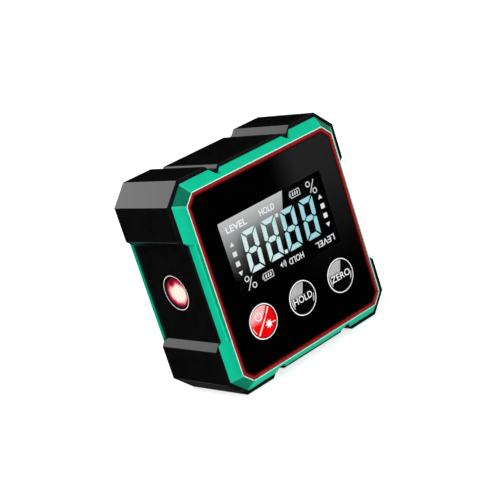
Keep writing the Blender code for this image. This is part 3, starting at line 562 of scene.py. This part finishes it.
def add_piece(name, shape, materials, body, smooth_angle=30):
    """Makes an object from a bmesh, shades it smooth where it is round and hangs it on its body."""
    bmesh.ops.recalc_face_normals(shape, faces=shape.faces)
    mark_sharp(shape, smooth_angle)
    mesh = bpy.data.meshes.new(name)
    shape.to_mesh(mesh)
    shape.free()
    for key in materials:
        mesh.materials.append(MATERIALS[key])
    piece = bpy.data.objects.new(name, mesh)
    bpy.context.scene.collection.objects.link(piece)
    shading = piece.modifiers.new("even_shading", "WEIGHTED_NORMAL")
    shading.keep_sharp = True
    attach(piece, body)
    return piece


def mark_sharp(shape, smooth_angle):
    """Edges shade smooth where they turn little. On a rounded edge they may turn more, but not over its ends."""
    rounded = shape.faces.layers.int.get("rounded")
    for face in shape.faces:
        face.smooth = True
    for edge in shape.edges:
        on_round = rounded and any(face[rounded] for face in edge.link_faces)
        edge.smooth = edge.calc_face_angle(pi) < radians(ROUND_ANGLE if on_round else smooth_angle)
    if rounded:
        shape.faces.layers.int.remove(rounded)


def merged_copy(node):
    """The node's mesh as a bmesh, with its corners joined and its flat faces whole."""
    shape = bmesh.new()
    shape.from_mesh(frame["nodes"][node].data)
    bmesh.ops.remove_doubles(shape, verts=shape.verts, dist=1e-7)
    bmesh.ops.dissolve_limit(shape, angle_limit=radians(0.5), verts=shape.verts, edges=shape.edges)
    return shape


def soften(shape, width, material, keep=lambda edge: True, least_angle=20):
    """Rounds the edges that turn by at least this angle. Their faces take the material of that number."""
    rounded = shape.faces.layers.int.get("rounded") or shape.faces.layers.int.new("rounded")
    edges = [
        edge for edge in shape.edges
        if len(edge.link_faces) == 2 and edge.calc_face_angle() > radians(least_angle) and keep(edge)
    ]
    made = bmesh.ops.bevel(
        shape, geom=edges, offset=width, offset_type="OFFSET", segments=2, profile=0.5, affect="EDGES",
        clamp_overlap=True, material=material,
    )
    for face in made["faces"]:
        face[rounded] = 1


def stand_for(node, shape, materials, smooth_angle=30):
    """A finer piece that stands for a node and rides where the node rides."""
    piece = add_piece(node + "_skin", shape, materials, body_of(node), smooth_angle)
    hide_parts(node)


def reach_from_middle(point):
    return max(abs(point.x - CENTRE.x), abs(point.z - CENTRE.z))


def lies_at(edge, axis, place):
    return all(abs(vert.co["xyz".index(axis)] - place) < TOLERANCE for vert in edge.verts)


def dress_housing():
    """The housing, its outer edges rounded and painted lighter as a painted highlight, apart from those of the laser
    bores and magnet seats.
    """
    shape = merged_copy("housing")
    laser_middle = middle_of("laser_lens_left")
    bezel_low, bezel_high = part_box("laser_bezel_left")
    bore = (bezel_high.z - bezel_low.z) / 2 + BORE_MARGIN

    def outside(edge):
        for vert in edge.verts:
            if reach_from_middle(vert.co) < BODY_HALF - HOUSING_WALL:
                return False
            if hypot(vert.co.y - laser_middle.y, vert.co.z - laser_middle.z) < bore:
                return False
            if vert.co.z < HOUSING_WALL and abs(vert.co.y) < bore:
                return False
        return True

    soften(shape, HOUSING_ROUND, 1, outside)
    # Rounded edges keep the lighter black, a painted highlight, unless they face the front or lie in a hollow
    for face in shape.faces:
        longest = max(face.edges, key=lambda edge: edge.calc_length())
        if abs(face.normal.y) > 0.2 or not longest.is_convex:
            face.material_index = 0
    stand_for("housing", shape, ["housing", "housing_edge_highlight"])


def is_facet(face):
    return min(abs(face.normal.x), abs(face.normal.z)) > FACET_SHARE


def is_bevel(face, side):
    return BEVEL_FACING[0] < side * face.normal.y < BEVEL_FACING[1]


def frame_tone(face, side, lip_y):
    """The material of a face of a frame. Its side is -1 at the front and 1 at the rear."""
    normal = face.normal
    middle = face.calc_center_median()
    # The lip is painted pale as a painted highlight
    if side * normal.y > 0.9 and abs(middle.y - lip_y) < TOLERANCE:
        return "lip_green_highlight" if -side * (middle.x - CENTRE.x) > PANEL_HALF - PANEL_LEG else "lip_highlight"
    if not is_bevel(face, side):
        return "green"
    # Corner facets take darker or paler copies of the green by the way they face: painted shade and painted light
    if is_facet(face):
        if normal.z > 0:
            return "green_facet_shade"
        return "green_facet_lit" if side * normal.x < 0 else "green_facet_low_shade"
    # Side bevels take the side green with its painted shading; bevels that face down are painted lighter, a painted
    # light
    if abs(normal.x) > abs(normal.z):
        return "green_side_shaded"
    return "green_low_lightened" if normal.z < 0 else "green"


def dress_frame(node, side):
    """The green frame: hips painted lighter as a painted highlight, corner facets and lower bevels in painted shade
    and painted light, and a lip round the plate painted pale as a painted highlight.
    """
    shape = merged_copy(node)
    low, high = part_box(node)
    lip_y = low.y if side < 0 else high.y
    keys = [
        "green", "green_hip_highlight", "green_facet_shade", "lip_highlight", "green_side_shaded", "green_facet_low_shade", "green_facet_lit", "green_low_lightened",
        "lip_green_highlight",
    ]
    for face in shape.faces:
        face.material_index = keys.index(frame_tone(face, side, lip_y))

    def hip(edge):
        on_bevels = all(is_bevel(face, side) for face in edge.link_faces)
        return on_bevels and any(is_facet(face) for face in edge.link_faces)

    soften(shape, HIP_ROUND, keys.index("green_hip_highlight"), hip)
    stand_for(node, shape, keys, smooth_angle=10)


def dress_plain(node, materials, width=0.0, smooth_angle=30):
    """A copy with its sharp edges rounded by this width, in the last of the materials."""
    shape = merged_copy(node)
    if width:
        soften(shape, width, len(materials) - 1, least_angle=40)
    stand_for(node, shape, materials, smooth_angle)


def prism(shape, outline, front, back):
    """Adds a closed plate with this outline in X and Z to a bmesh."""
    rows = [[shape.verts.new((x, y, z)) for x, z in outline] for y in (front, back)]
    shape.faces.new(rows[0])
    shape.faces.new(rows[1])
    for here in range(len(outline)):
        after = (here + 1) % len(outline)
        shape.faces.new((rows[0][here], rows[0][after], rows[1][after], rows[1][here]))


def ring_prism(shape, outer, inner, front, back):
    """Adds a closed ring between two outlines of equal counts."""
    rows = [[shape.verts.new((x, y, z)) for x, z in loop] for loop, y in
            ((outer, front), (inner, front), (inner, back), (outer, back))]
    for low, high in zip(rows, rows[1:] + rows[:1]):
        for here in range(len(outer)):
            after = (here + 1) % len(outer)
            shape.faces.new((low[here], low[after], high[after], high[here]))


def octagon(half, leg):
    quarter = [(half, half - leg), (half - leg, half)]
    points = quarter + [(-x, z) for x, z in reversed(quarter)]
    return points + [(-x, -z) for x, z in points]


def from_middle(points):
    """Millimetres from the middle of the box, seen from the front, to places in the frame."""
    return [(CENTRE.x + x * MM, CENTRE.z + z * MM) for x, z in points]


def add_border():
    """The red line printed round the edge of the panel, darker in steps toward its inside."""
    corner = 2 - 2 ** 0.5       # how much shorter the corner's leg gets for each step inward
    steps = [step * MM for step in BORDER_STEPS]
    for outer, inner, tone in zip(steps, steps[1:], BORDER_TONES):
        shape = bmesh.new()
        loops = [
            [(CENTRE.x + x, CENTRE.z + z) for x, z in octagon(PANEL_HALF - inset, PANEL_LEG - inset * corner)]
            for inset in (outer, inner)
        ]
        ring_prism(shape, loops[0], loops[1], PANEL_FACE - INK, PANEL_FACE)
        add_piece("panel_border_" + tone, shape, [tone], "box")


def segments_of(left):
    """The seven segments of one digit as outlines, mitred where they meet."""
    w, h, t, g = DIGIT_WIDTH, DIGIT_HEIGHT, DIGIT_STROKE, DIGIT_GAP
    m = h / 2
    upper_left = [
        (0, h - 2 * g), (0, m + t * 0.35), (t * 0.4, m + g), (t * 0.55, m + g), (t, m + t / 2 + g),
        (t, h - t - 2 * g),
    ]
    top = [(2 * g, h), (w - 2 * g, h), (w - t - g, h - t), (t + g, h - t)]
    middle = [
        (t * 0.5 + 2 * g, m), (t + 2 * g, m + t / 2), (w - t - 2 * g, m + t / 2), (w - t * 0.5 - 2 * g, m),
        (w - t - 2 * g, m - t / 2), (t + 2 * g, m - t / 2),
    ]
    outlines = [
        top,
        [(x, h - z) for x, z in top],
        middle,
        upper_left,
        [(w - x, z) for x, z in upper_left],
        [(x, h - z) for x, z in upper_left],
        [(w - x, h - z) for x, z in upper_left],
    ]
    return [
        [(left + x + DIGIT_SLANT * (z - m), DIGIT_LOW + z) for x, z in outline] for outline in outlines
    ]


def add_lcd(name, outlines, material):
    """Lit marks that lie on the face of the display glass."""
    shape = bmesh.new()
    for outline in outlines:
        prism(shape, from_middle(outline), GLASS_FACE - INK, GLASS_FACE)
    add_piece(name, shape, [material], "box")


def square(x, z, size):
    half = size / 2
    return [(x - half, z - half), (x + half, z - half), (x + half, z + half), (x - half, z + half)]


def bar(x0, z0, x1, z1, width):
    """A straight stroke between two points."""
    along = Vector((x1 - x0, z1 - z0)).normalized()
    side = Vector((-along.y, along.x)) * width / 2
    return [
        (x0 + side.x, z0 + side.y), (x0 - side.x, z0 - side.y), (x1 - side.x, z1 - side.y), (x1 + side.x, z1 + side.y),
    ]


def arc(x, z, radius, width, start, end, steps=24):
    """A curved stroke, from one angle to another in degrees, counted from +X toward +Z."""
    angles = [radians(start + (end - start) * step / steps) for step in range(steps + 1)]
    outer = [(x + (radius + width / 2) * cos(a), z + (radius + width / 2) * sin(a)) for a in angles]
    inner = [(x + (radius - width / 2) * cos(a), z + (radius - width / 2) * sin(a)) for a in reversed(angles)]
    return outer + inner


def battery_mark(x, z, width, height):
    """A battery sign: four strokes round three bars, and its nub at the left."""
    half_w, half_h, line = width / 2, height / 2, FINE_LINE
    strokes = [
        bar(x - half_w, z + half_h, x + half_w, z + half_h, line),
        bar(x - half_w, z - half_h, x + half_w, z - half_h, line),
        bar(x - half_w, z - half_h, x - half_w, z + half_h, line),
        bar(x + half_w, z - half_h, x + half_w, z + half_h, line),
        bar(x - half_w - 0.35, z - half_h / 2, x - half_w - 0.35, z + half_h / 2, line),
    ]
    for step in (-1, 0, 1):
        middle = x + step * width / 4
        strokes.append(bar(middle - 0.12, z - half_h * 0.55, middle + 0.12, z + half_h * 0.55, width / 9))
    return strokes


def percent_mark(x, z, turn):
    """A percent sign from two rings and a slanted stroke. A turn of -1 shows it upside down."""
    strokes = [bar(x - turn * 0.75, z - turn * 1.28, x + turn * 1.4, z + turn * 1.85, 0.25)]
    for side in (-1, 1):
        ring_x, ring_z = x + side * 0.92, z - side * 1.22
        strokes.append(arc(ring_x, ring_z, 0.66, 0.26, 0, 180))
        strokes.append(arc(ring_x, ring_z, 0.66, 0.26, 180, 360))
    return strokes


def add_display():
    for number in range(DIGIT_COUNT):
        add_lcd(f"lcd_digit_{number + 1}", segments_of(DIGIT_LEFT + DIGIT_PITCH * number), "lcd_digit")
    marks = [square(x, z, DOT_SIZE) for x, z in DOTS]
    for column in (LEFT_COLUMN_X, RIGHT_COLUMN_X):
        half, rise = ARROW_WIDTH / 2, ARROW_HEIGHT / 2
        bottom = COLUMN_TOP - 3 * SYMBOL_SPACING
        marks += [
            [(column - half, COLUMN_TOP - rise), (column + half, COLUMN_TOP - rise), (column, COLUMN_TOP + rise)],
            square(column, COLUMN_TOP - SYMBOL_SPACING, SYMBOL_SIZE),
            square(column, COLUMN_TOP - 2 * SYMBOL_SPACING, SYMBOL_SIZE),
            [(column - half, bottom + rise), (column, bottom - rise), (column + half, bottom + rise)],
        ]
    for x, z in BATTERIES:
        marks += battery_mark(x, z, *BATTERY_SIZE)
    for x, z, turn in PERCENTS:
        marks += percent_mark(x, z, turn)
    marks.append(SPEAKER)
    marks += [arc(*SPEAKER_MIDDLE, radius, FINE_LINE, -50, 50) for radius in SPEAKER_WAVES]
    add_lcd("lcd_marks", marks, "lcd_mark")
    for name, text, x, z, width, material, turned, weight in DISPLAY_WORDS:
        add_word(
            name, text, (x, z), (width, DISPLAY_WORD_HEIGHT), GLASS_FACE, material, "box", weight,
            turned=turned,
        )


def word_mesh(text, weight):
    """Flat letters as a mesh in their own plane, with a little thickness."""
    curve = bpy.data.curves.new("word", "FONT")
    curve.body = text
    curve.offset = weight
    curve.extrude = 0.5
    curve.resolution_u = 5
    guide = bpy.data.objects.new("word", curve)
    bpy.context.scene.collection.objects.link(guide)
    bpy.context.view_layer.update()
    mesh = bpy.data.meshes.new_from_object(guide.evaluated_get(bpy.context.evaluated_depsgraph_get()))
    bpy.data.objects.remove(guide, do_unlink=True)
    return mesh


def add_word(name, text, place, size, face, material, body, weight, turned=False, crown=None):
    """A printed or lit word, with its back on a face and, on a button, bent to the crown round this centre.

    Its place and size are in millimetres, from the middle of the box.
    """
    mesh = word_mesh(text, weight)
    x, z = place
    width, height = size
    shape = bmesh.new()
    shape.from_mesh(mesh)
    bmesh.ops.remove_doubles(shape, verts=shape.verts, dist=1e-5)
    xs = [vert.co.x for vert in shape.verts]
    ys = [vert.co.y for vert in shape.verts]
    middle_x, middle_y = (min(xs) + max(xs)) / 2, (min(ys) + max(ys)) / 2
    scale_x, scale_y = width / (max(xs) - min(xs)), height / (max(ys) - min(ys))
    flip = -1 if turned else 1
    for vert in shape.verts:
        across = flip * (vert.co.x - middle_x) * scale_x
        upward = flip * (vert.co.y - middle_y) * scale_y
        depth = -INK if vert.co.z > 0 else 0.0
        vert.co = (CENTRE.x + (x + across) * MM, face + depth, CENTRE.z + (z + upward) * MM)
    if crown:
        lay_on_crown(shape, crown)
    add_piece(name, shape, [material], body)


def lay_on_crown(shape, centre):
    """Bends a flat layer down to the crown of a button."""
    for vert in shape.verts:
        away = hypot(vert.co.x - centre[0], vert.co.z - centre[1])
        vert.co.y += CROWN_DROP * (away / CROWN_RADIUS) ** 2


def add_print(name, outlines, centre, face, material, body):
    """Strokes printed on the crown of a button, in millimetres from the button's middle."""
    shape = bmesh.new()
    for outline in outlines:
        placed = [(centre[0] + x * MM, centre[1] + z * MM) for x, z in outline]
        prism(shape, placed, face - INK, face)
    lay_on_crown(shape, centre)
    add_piece(name, shape, [material], body)


def divided(outline, parts):
    """A stroke with its two long sides cut into equal parts, so that it can bend."""
    start_left, start_right, end_right, end_left = [Vector(point) for point in outline]
    left = [start_left.lerp(end_left, step / parts) for step in range(parts + 1)]
    right = [start_right.lerp(end_right, step / parts) for step in range(parts + 1)]
    return [tuple(point) for point in left + right[::-1]]


def burst(x, z, spikes, inner, outer):
    """A star with this many spikes."""
    points = []
    for step in range(spikes * 2):
        radius = outer if step % 2 == 0 else inner
        angle = pi * step / spikes
        points.append((x + radius * cos(angle), z + radius * sin(angle)))
    return points


def laser_button_strokes():
    """A slanted stroke between a laser burst with its beam and a power sign, and a streak along the ring that is a
    painted reflection.
    """
    return [
        divided(bar(-2.63, -3.0, 2.75, 3.02, 0.36), 8),
        burst(1.4, -1.3, 8, 0.68, 1.3),
        bar(2.75, -1.35, 3.2, -1.38, 0.26),
        bar(3.35, -1.4, 3.7, -1.45, 0.26),
        arc(-1.2, 1.85, 1.05, 0.24, 130, 410, 28),
        bar(-1.2, 2.0, -1.2, 3.1, 0.24),
        arc(0, 0, 3.9, 0.14, 185, 215),
    ]


def ring_reflection_streaks():
    """Pairs of thin bright streaks along the left and right edges of a black button, painted reflections in white
    print.
    """
    return [
        arc(0, 0, 3.95, 0.13, 168, 207), arc(0, 0, 3.7, 0.1, 175, 203),
        arc(0, 0, 3.95, 0.13, -36, -5), arc(0, 0, 3.7, 0.1, -32, -12),
    ]


def add_button_prints():
    for label in BUTTONS:
        body = label + "_button"
        middle = middle_of(label + "_button_cap")
        centre = (middle.x, middle.z)
        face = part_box(label + "_button_cap")[0].y + INK
        if label == "laser":
            strokes = laser_button_strokes()
            add_print("laser_button_marks", strokes, centre, face, "white_print_and_highlights", body)
            continue
        place = ((middle.x - CENTRE.x) / MM, (middle.z - CENTRE.z) / MM + WORD_Z)
        add_word(
            label + "_button_word", label.upper(), place, (WORD_WIDTHS[label], WORD_HEIGHT), face, "white_print_and_highlights",
            body, WORD_WEIGHT, crown=centre,
        )
        # The streaks are painted reflections, made in white print
        add_print(label + "_button_reflection_streaks", ring_reflection_streaks(), centre, face, "white_print_and_highlights", body)


def cap_material(label):
    """Gloss black or red, with a pale wedge of painted reflection on its top toward the upper left."""
    made, tree, surface = new_material(label + "_cap")
    base, sheen = [shade(code) for code in CAP_COLOURS[label]]
    middle = middle_of(label + "_button_cap")
    place = place_of(tree)
    x = millimetres_from(tree, place["X"], middle.x)
    z = millimetres_from(tree, place["Z"], middle.z)
    # The wedge of painted reflection lies left of the line x = slope z - offset, and fades out toward the word
    slope, offset = WEDGE_EDGES[label]
    beside = maths(tree, "SUBTRACT", maths(tree, "MULTIPLY", z, slope), maths(tree, "ADD", x, offset))
    inside = maths(tree, "GREATER_THAN", beside, 0.0)
    height = share(tree, z, *WEDGE_FADES[label])
    clouds = spread(tree, noise(tree, 1.6 * MM, 4.0), 0.6, 1.35)
    painted_sheen = maths(tree, "MINIMUM", maths(tree, "MULTIPLY", height, clouds), 1.0)
    amount = maths(tree, "MULTIPLY", inside, painted_sheen)
    mottled = ramp(tree, noise(tree, 2 * MM, 3.0), [(0.3, tuple(c * 0.8 for c in base)), (0.7, base)])
    tree.links.new(blend(tree, amount, mottled, sheen), surface.inputs["Base Color"])
    tree.links.new(spread(tree, noise(tree, 1 * MM), 0.08, 0.14), surface.inputs["Roughness"])
    surface.inputs["Specular IOR Level"].default_value = 0.3
    return made


def dress_buttons():
    """Caps with a crown lowered by the print's thickness and a dull black flange in painted shade, and rings with a
    bright line that glows as a painted highlight.
    """
    for label in BUTTONS:
        MATERIALS[label + "_cap"] = cap_material(label)
        shape = merged_copy(label + "_button_cap")
        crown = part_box(label + "_button_cap")[0].y + CROWN_DEPTH
        for face in shape.faces:
            # The flange below the crown is painted shade black
            face.material_index = 1 if face.calc_center_median().y > crown else 0
        for vert in shape.verts:
            if vert.co.y < crown:
                vert.co.y += INK
        stand_for(label + "_button_cap", shape, [label + "_cap", "painted_shade"], smooth_angle=35)
        ring = label + "_button_ring"
        MATERIALS[ring] = line_material(ring, ring, "XZ", RING_LINE, shade("#ffffff"), shade("#242425"), 0.2)
        dress_plain(ring, [ring], RING_ROUND, smooth_angle=60)


def dress_lasers():
    for side in ("left", "right"):
        node = "laser_bezel_" + side
        shape = merged_copy(node)
        low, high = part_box(node)
        rim_x = low.x if side == "left" else high.x
        for face in shape.faces:
            face.material_index = 0 if abs(face.calc_center_median().x - rim_x) < TOLERANCE else 1
        soften(shape, BEZEL_ROUND, 1, lambda edge: lies_at(edge, "x", rim_x), least_angle=35)
        stand_for(node, shape, ["bezel", "bezel_cone"])
        dress_plain("laser_lens_" + side, ["laser"], LASER_ROUND)


def dress_rear():
    """The rear cover, battery door and screws, and the magnets in the feet."""
    # The rounded edges of the door and the cover are painted lighter, a painted highlight
    dress_plain("battery_door", ["cover", "housing_edge_highlight"], DOOR_ROUND)
    shape = merged_copy("rear_cover")
    rear_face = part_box("rear_cover")[1].y
    soften(shape, REAR_ROUND, 1, lambda edge: lies_at(edge, "y", rear_face), least_angle=40)
    stand_for("rear_cover", shape, ["cover", "housing_edge_highlight"])
    for number in range(1, 5):
        dress_plain(f"case_screw_{number}", ["screw"])
    dress_plain("door_screw", ["screw"])
    for side in ("left", "right"):
        dress_plain("magnet_" + side, ["magnet"], MAGNET_ROUND)


def dress_lens():
    """The clear window, with walls in painted shade black so that it doesn't mirror the display in them."""
    shape = merged_copy("display_lens")
    for face in shape.faces:
        face.material_index = 0 if abs(face.normal.y) > 0.9 else 1
    stand_for("display_lens", shape, ["lens", "painted_shade"])


INNER_FINISHES = {
    "board": ["circuit_board"],
    "chip": ["controller_chip", "tilt_sensor", "buzzer", "laser_switch", "hold_switch", "zero_switch"],
    "holder": ["display_holder"],
    "glass": ["display_glass"],
    "diffuser": ["backlight"],
    "rubber": ["contact_strip"],
    "brass": ["laser_module_left", "laser_module_right"],
    "sleeve": ["battery_upper", "battery_lower"],
    "steel": [
        "spring_upper", "spring_lower", "contact_upper", "contact_lower", "contact_bridge",
        "board_screw_1", "board_screw_2", "board_screw_3", "board_screw_4",
    ],
}


def dress_inner_nodes():
    """Finishes for the nodes that keep their own mesh."""
    for key, names in INNER_FINISHES.items():
        for name in names:
            slots = frame["nodes"][name].data.materials
            slots.clear()
            slots.append(MATERIALS[key])


def dress_panel():
    """The gloss black panel, its outline rounded. The walls of its window and button holes are dull, in painted shade
    black.
    """
    shape = merged_copy("front_panel")
    rim = PANEL_HALF - PANEL_LEG

    def on_outline(edge):
        return lies_at(edge, "y", PANEL_FACE) and all(reach_from_middle(vert.co) > rim for vert in edge.verts)

    # The walls of the window and the holes take painted shade black
    for face in shape.faces:
        inner = all(reach_from_middle(vert.co) < rim for vert in face.verts)
        face.material_index = 1 if inner and abs(face.normal.y) < 0.5 else 0
    soften(shape, PANEL_ROUND, 0, on_outline, least_angle=40)
    stand_for("front_panel", shape, ["panel", "painted_shade"])


# Stage

def glossy_share(tree):
    """1 for the rays that show the background: camera, glossy and transmission rays."""
    path = tree.nodes.new("ShaderNodeLightPath")
    either = maths(tree, "MAXIMUM", path.outputs["Is Camera Ray"], path.outputs["Is Glossy Ray"])
    return maths(tree, "MAXIMUM", either, path.outputs["Is Transmission Ray"])


def add_card(name, corners, material):
    shape = bmesh.new()
    shape.faces.new([shape.verts.new(corner) for corner in corners])
    mesh = bpy.data.meshes.new(name)
    shape.to_mesh(mesh)
    shape.free()
    mesh.materials.append(material)
    card = bpy.data.objects.new(name, mesh)
    bpy.context.scene.collection.objects.link(card)
    return card


def add_floor():
    made, tree, surface = new_material("floor")
    tree.nodes.remove(surface)
    matte = tree.nodes.new("ShaderNodeBsdfDiffuse")
    matte.inputs["Color"].default_value = (FLOOR_ALBEDO,) * 3 + (1.0,)
    lit = tree.nodes.new("ShaderNodeEmission")
    both = tree.nodes.new("ShaderNodeAddShader")
    tree.links.new(maths(tree, "MULTIPLY", glossy_share(tree), FLOOR_GLOW), lit.inputs["Strength"])
    tree.links.new(matte.outputs["BSDF"], both.inputs[0])
    tree.links.new(lit.outputs["Emission"], both.inputs[1])
    tree.links.new(both.outputs["Shader"], tree.nodes["Material Output"].inputs["Surface"])
    half = FLOOR_SIZE / 2
    corners = [(-half, -half), (half, -half), (half, half), (-half, half)]
    add_card("floor", [(x, y, cad_low.z - FLOOR_DROP) for x, y in corners], made)


def mirrored(point, normal):
    """The way a camera ray goes on after a face with this normal mirrors it."""
    ray = (point - CAMERA_PLACE).normalized()
    normal = normal.normalized()
    return ray - 2 * ray.dot(normal) * normal


def flag_material(name, glow_level):
    made, tree, surface = new_material(name)
    surface.inputs["Base Color"].default_value = (0.0, 0.0, 0.0, 1.0)
    surface.inputs["Roughness"].default_value = 1.0
    surface.inputs["Specular IOR Level"].default_value = 0.0
    surface.inputs["Emission Color"].default_value = (1.0, 1.0, 1.0, 1.0)
    surface.inputs["Emission Strength"].default_value = glow_level
    return made


def lying(x0, y0, x1, y1):
    """Corners of a card that lies just over the floor, in millimetres from the middle of the box."""
    z = cad_low.z + FLAG_HEIGHT
    return [Vector((CENTRE.x + x * MM, CENTRE.y + y * MM, z)) for x, y in ((x0, y0), (x1, y0), (x1, y1), (x0, y1))]


def standing(azimuth, distance, width, low, high):
    """Corners of an upright card, in millimetres and degrees from +X, that faces the box."""
    away = Vector((cos(radians(azimuth)), sin(radians(azimuth)), 0))
    across = Vector((-away.y, away.x, 0)) * width / 2 * MM
    middle = CENTRE + away * distance * MM
    return [
        middle - across + Vector((0, 0, low)) * MM, middle + across + Vector((0, 0, low)) * MM,
        middle + across + Vector((0, 0, high)) * MM, middle - across + Vector((0, 0, high)) * MM,
    ]


def add_flags():
    """Dark cards that only glossy and transmission rays see. They keep the black faces black under a white room."""
    black, dim = flag_material("flag_black", 0.0), flag_material("flag_dim", UNDER_GLOW)
    cards = [
        add_card("flag_front", lying(-90, -320, 330, -16), black),
        add_card("flag_left", lying(-330, -60, -30.5, 420), black),
        add_card("flag_left_far", standing(128, 300, 360, -30, 62), black),
        add_card("flag_top", standing(50, 250, 360, -30, 230), black),
        add_card("flag_under", lying(-30, -15, 90, 90), dim),
    ]
    for card in cards:
        card.visible_camera = False
        card.visible_diffuse = False
        card.visible_volume_scatter = False
        card.visible_shadow = False


def add_lamp(name, direction, distance, size, energy):
    lamp = bpy.data.lights.new(name, "AREA")
    lamp.shape = "SQUARE"
    lamp.size = size
    lamp.energy = energy
    holder = bpy.data.objects.new(name, lamp)
    bpy.context.scene.collection.objects.link(holder)
    holder.location = CENTRE + direction.normalized() * distance
    holder.rotation_mode = "QUATERNION"
    holder.rotation_quaternion = (-direction).to_track_quat("-Z", "Y")
    holder.visible_camera = False
    return holder


def level_energy(level, distance):
    """The energy that lights a white face at this distance to this level."""
    return level * pi ** 2 * distance ** 2


def add_lights():
    """Two soft lamps that light faces, one that the chamfers mirror to the camera, and a white room."""
    key = add_lamp("key", KEY_DIRECTION, KEY_DISTANCE, KEY_SIZE, level_energy(KEY_LEVEL, KEY_DISTANCE))
    fill = add_lamp("fill", FILL_DIRECTION, FILL_DISTANCE, FILL_SIZE, level_energy(FILL_LEVEL, FILL_DISTANCE))
    for lamp in (key, fill):
        lamp.visible_glossy = False
    rim_way = mirrored(RIM_POINT, RIM_NORMAL)
    rim = add_lamp("rim", rim_way, RIM_DISTANCE, RIM_SIZE, RIM_RADIANCE * pi * RIM_SIZE ** 2)
    rim.visible_diffuse = False

    world = bpy.data.worlds.new("studio")
    bpy.context.scene.world = world
    world.use_nodes = True
    tree = world.node_tree
    background = tree.nodes["Background"]
    background.inputs["Color"].default_value = (1.0, 1.0, 1.0, 1.0)
    strength = spread(tree, glossy_share(tree), AMBIENT_LEVEL, 1.0)
    tree.links.new(strength, background.inputs["Strength"])


def add_camera():
    camera = bpy.data.cameras.new("camera")
    camera.lens = CAMERA_LENS
    camera.sensor_width = CAMERA_SENSOR
    camera.clip_start = 0.01
    camera.clip_end = 10.0
    holder = bpy.data.objects.new("camera", camera)
    bpy.context.scene.collection.objects.link(holder)
    holder.location = CAMERA_PLACE
    holder.rotation_mode = "QUATERNION"
    level = (CAMERA_AIM - CAMERA_PLACE).to_track_quat("-Z", "Y")
    holder.rotation_quaternion = level @ Quaternion((0, 0, 1), CAMERA_ROLL)
    bpy.context.scene.camera = holder


bpy.context.scene.view_settings.view_transform = "Standard"
add_camera()
add_floor()
add_lights()
add_flags()
dress_inner_nodes()
dress_housing()
dress_frame("front_frame", -1)
dress_frame("rear_frame", 1)
dress_panel()
add_border()
dress_buttons()
add_button_prints()
add_display()
dress_lens()
dress_lasers()
dress_rear()
